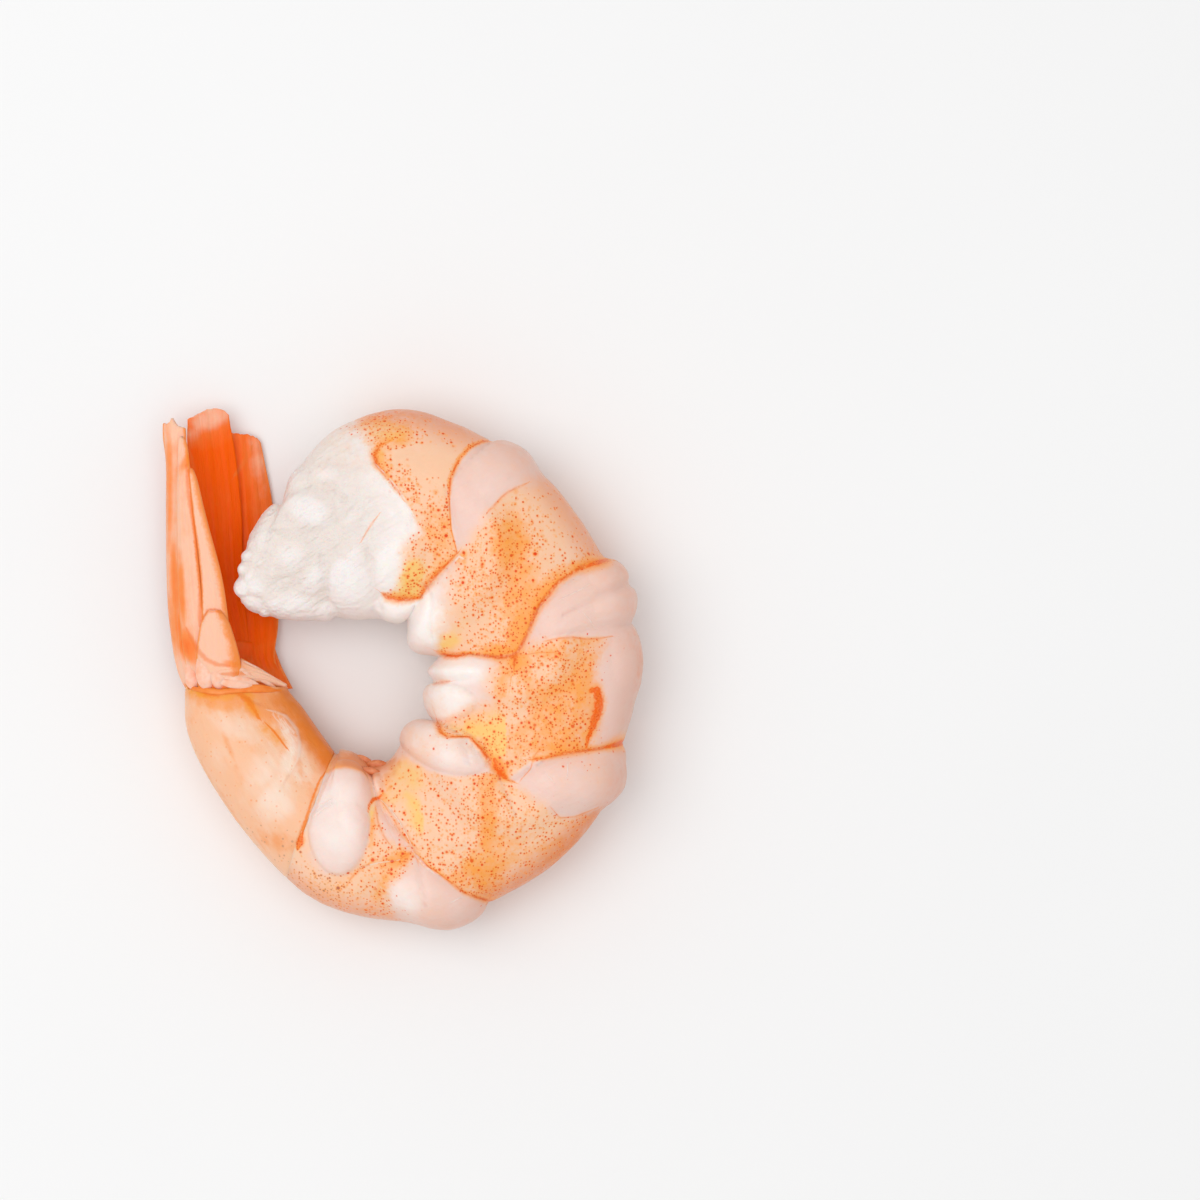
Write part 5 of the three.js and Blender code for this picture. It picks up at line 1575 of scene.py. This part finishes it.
class PrawnTrimSettings(bpy.types.PropertyGroup):
    lath: paint("Lath", "The pale strands of torn shell", 254, 204, 182)
    lath_shade: paint("Lath shade", "Their deeper parts", 254, 178, 140)
    seam: paint("Seam", "The orange seam at the collar", 252, 146, 60)
    seam_shade: paint("Seam shade", "Its deeper parts", 248, 124, 26)
    # The stubs' dark colour is partly painted shade
    stub: paint("Stub", "The brown stubs at the belly", 208, 108, 54)
    stub_pale: paint("Pale stub", "Their paler patches", 230, 146, 100)


class PrawnStageSettings(bpy.types.PropertyGroup):
    key_power: amount("Key power", "Power of the large soft light", 0.93, 1000, unit="POWER")
    fill_power: amount("Fill power", "Power of the light overhead", 0.76, 1000, unit="POWER")
    sky: amount("Sky", "Strength of the pale surroundings", 0.67, 1000)
    floor: paint("Floor", "The pale surface", 246, 246, 246)
    lens: amount("Lens", "Focal length of the camera in millimetres", 300.0, 600, 10)


# Operators
def dress(piece, material, slot, *nodes):
    """Gives a piece its material and its body, and hides the solids it stands for. The slot is not
    used.
    """
    piece.data.materials.clear()
    piece.data.materials.append(material)
    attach(piece, "root")
    if nodes:
        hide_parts(*nodes)


class PRAWN_OT_flesh(bpy.types.Operator):
    """Builds the peeled flesh with its creases, lobes, torn head end and pigment"""

    bl_idname = "prawn.flesh"
    bl_label = "Flesh"

    def execute(self, context):
        look = context.scene.prawn_flesh
        dress(build_flesh(look), flesh_material(look), "flesh", "flesh")
        return {"FINISHED"}


class PRAWN_OT_shell_ring(bpy.types.Operator):
    """Builds the last shell ring with its torn edge"""

    bl_idname = "prawn.shell_ring"
    bl_label = "Shell ring"

    def execute(self, context):
        look = context.scene.prawn_shell
        dress(build_shell_ring(look), shell_material(look), "shell", "shell_ring")
        return {"FINISHED"}


class PRAWN_OT_fan(bpy.types.Operator):
    """Builds the blades and root plates of the tail fan"""

    bl_idname = "prawn.fan"
    bl_label = "Tail fan"

    def execute(self, context):
        look = context.scene.prawn_fan
        outer = fan_material("fan_shell", look, look.bright, look.margin)
        inner = fan_material("fan_inner_shell", look, look.inner_bright, look.bright)
        for name, shape in FAN.items():
            lower = name.startswith("lower")
            material, slot = (inner, "fan_inner") if lower else (outer, "fan")
            dress(build_blade(name, shape, look), material, slot, name)
        return {"FINISHED"}


class PRAWN_OT_trim(bpy.types.Operator):
    """Lays the torn strands at the collar and the stubs of membrane at the belly"""

    bl_idname = "prawn.trim"
    bl_label = "Strands and stubs"

    def execute(self, context):
        look = context.scene.prawn_trim
        strands = strand_tree()
        shell = plain_material("torn_shell", look.lath, look.lath_shade, 0.7, 0.38, 0.02)
        orange = plain_material("collar_seam", look.seam, look.seam_shade, 0.8, 0.4, 0.03)
        # the stubs' brown is partly painted shade
        brown = plain_material("brown_membrane_and_shade", look.stub, look.stub_pale, 0.6, 0.45, 0.06)
        for name, paths, material, slot, flatness, sides, pieces in (
            ("prawn_collar_strands", COLLAR_STRANDS, shell, "fan", 0.35, 12, 24),
            ("prawn_collar_tissue", COLLAR_TISSUE, shell, "fan", 0.3, 14, 20),
            ("prawn_collar_seam", COLLAR_SEAM, orange, "fan", 0.3, 12, 60),
            ("prawn_belly_stubs", BELLY_STUBS, brown, "flesh", 0.6, 12, 22),
        ):
            piece = grown(
                name, path_mesh(name + "_paths", paths), strands,
                Flatness=flatness, Sides=sides, Pieces=pieces, Material=material,
            )
            dress(piece, material, slot)
        return {"FINISHED"}


FLOOR_HALF = 1.2
FLOOR_DROP = 0.00004  # the floor lies this far below the prawn
CAMERA_OVER = (0.020, 0.007)
FIELD_WIDE = 0.120  # width of the photographed field, and the height it is at
FIELD_HIGH = 0.008
SENSOR_WIDE = 36.0
KEY_LIGHT = (0.45, (-0.24, 0.05, 0.55))  # size and place
FILL_LIGHT = (0.6, (0.02, 0.0, 0.65))


class PRAWN_OT_stage(bpy.types.Operator):
    """Sets up the pale floor, the soft lights and the camera"""

    bl_idname = "prawn.stage"
    bl_label = "Stage"

    def execute(self, context):
        scene, look = context.scene, context.scene.prawn_stage
        scene.view_settings.view_transform = "Standard"
        mesh = bpy.data.meshes.new("floor")
        corners = [(-1, -1), (1, -1), (1, 1), (-1, 1)]
        corners = [(FLOOR_HALF * x, FLOOR_HALF * y, -FLOOR_DROP) for x, y in corners]
        mesh.from_pydata(corners, [], [(0, 1, 2, 3)])
        sheet = start_material("pale_floor")
        shade = [0.98 * v for v in look.floor]
        colour = sheet.tint(look.floor, shade, sheet.cloud(sheet.millimetres(), 90.0), -0.5, 0.5)
        sheet.feed(sheet.shader.inputs["Base Color"], colour)
        sheet.shader.inputs["Roughness"].default_value = 0.75
        mesh.materials.append(sheet.material)
        placed("floor", mesh)

        scene.world = bpy.data.worlds.new("pale_studio")
        scene.world.use_nodes = True
        background = scene.world.node_tree.nodes["Background"]
        background.inputs["Color"].default_value = (1.0, 1.0, 1.0, 1.0)
        background.inputs["Strength"].default_value = look.sky

        for name, power, (size, place) in (
            ("key_light", look.key_power, KEY_LIGHT), ("fill_light", look.fill_power, FILL_LIGHT),
        ):
            light = bpy.data.lights.new(name, "AREA")
            light.energy, light.shape, light.size = power, "DISK", size
            lamp = placed(name, light)
            lamp.location = place
            aim = mathutils.Vector((0.0, 0.0, 0.0)) - mathutils.Vector(place)
            lamp.rotation_euler = aim.to_track_quat("-Z", "Y").to_euler()

        view = bpy.data.cameras.new("camera")
        view.sensor_width = SENSOR_WIDE
        view.lens = look.lens
        view.clip_start, view.clip_end = 0.01, 5.0
        scene.camera = placed("camera", view)
        scene.camera.location = (*CAMERA_OVER, FIELD_HIGH + FIELD_WIDE * look.lens / SENSOR_WIDE)
        return {"FINISHED"}


class PRAWN_PT_sidebar(bpy.types.Panel):
    """Lists the pieces of the prawn and their settings"""

    bl_idname = "PRAWN_PT_sidebar"
    bl_label = "Prawn"
    bl_space_type = "VIEW_3D"
    bl_region_type = "UI"
    bl_category = "Prawn"

    def draw(self, context):
        for name, (_, operator) in PIECES.items():
            column = self.layout.column(align=True)
            column.operator(operator.bl_idname)
            settings = getattr(context.scene, name)
            for key in settings.__annotations__:
                column.prop(settings, key)


PIECES = {
    "prawn_stage": (PrawnStageSettings, PRAWN_OT_stage),
    "prawn_flesh": (PrawnFleshSettings, PRAWN_OT_flesh),
    "prawn_shell": (PrawnShellSettings, PRAWN_OT_shell_ring),
    "prawn_fan": (PrawnFanSettings, PRAWN_OT_fan),
    "prawn_trim": (PrawnTrimSettings, PRAWN_OT_trim),
}
CLASSES = [one for pair in PIECES.values() for one in pair] + [PRAWN_PT_sidebar]


def register():
    for one in CLASSES:
        bpy.utils.register_class(one)
    for name, (settings, _) in PIECES.items():
        setattr(bpy.types.Scene, name, PointerProperty(type=settings))


def unregister():
    for name in PIECES:
        delattr(bpy.types.Scene, name)
    for one in reversed(CLASSES):
        bpy.utils.unregister_class(one)


def main():
    register()
    bpy.ops.prawn.stage()
    bpy.ops.prawn.flesh()
    bpy.ops.prawn.shell_ring()
    bpy.ops.prawn.fan()
    bpy.ops.prawn.trim()


if __name__ == "__main__":
    main()
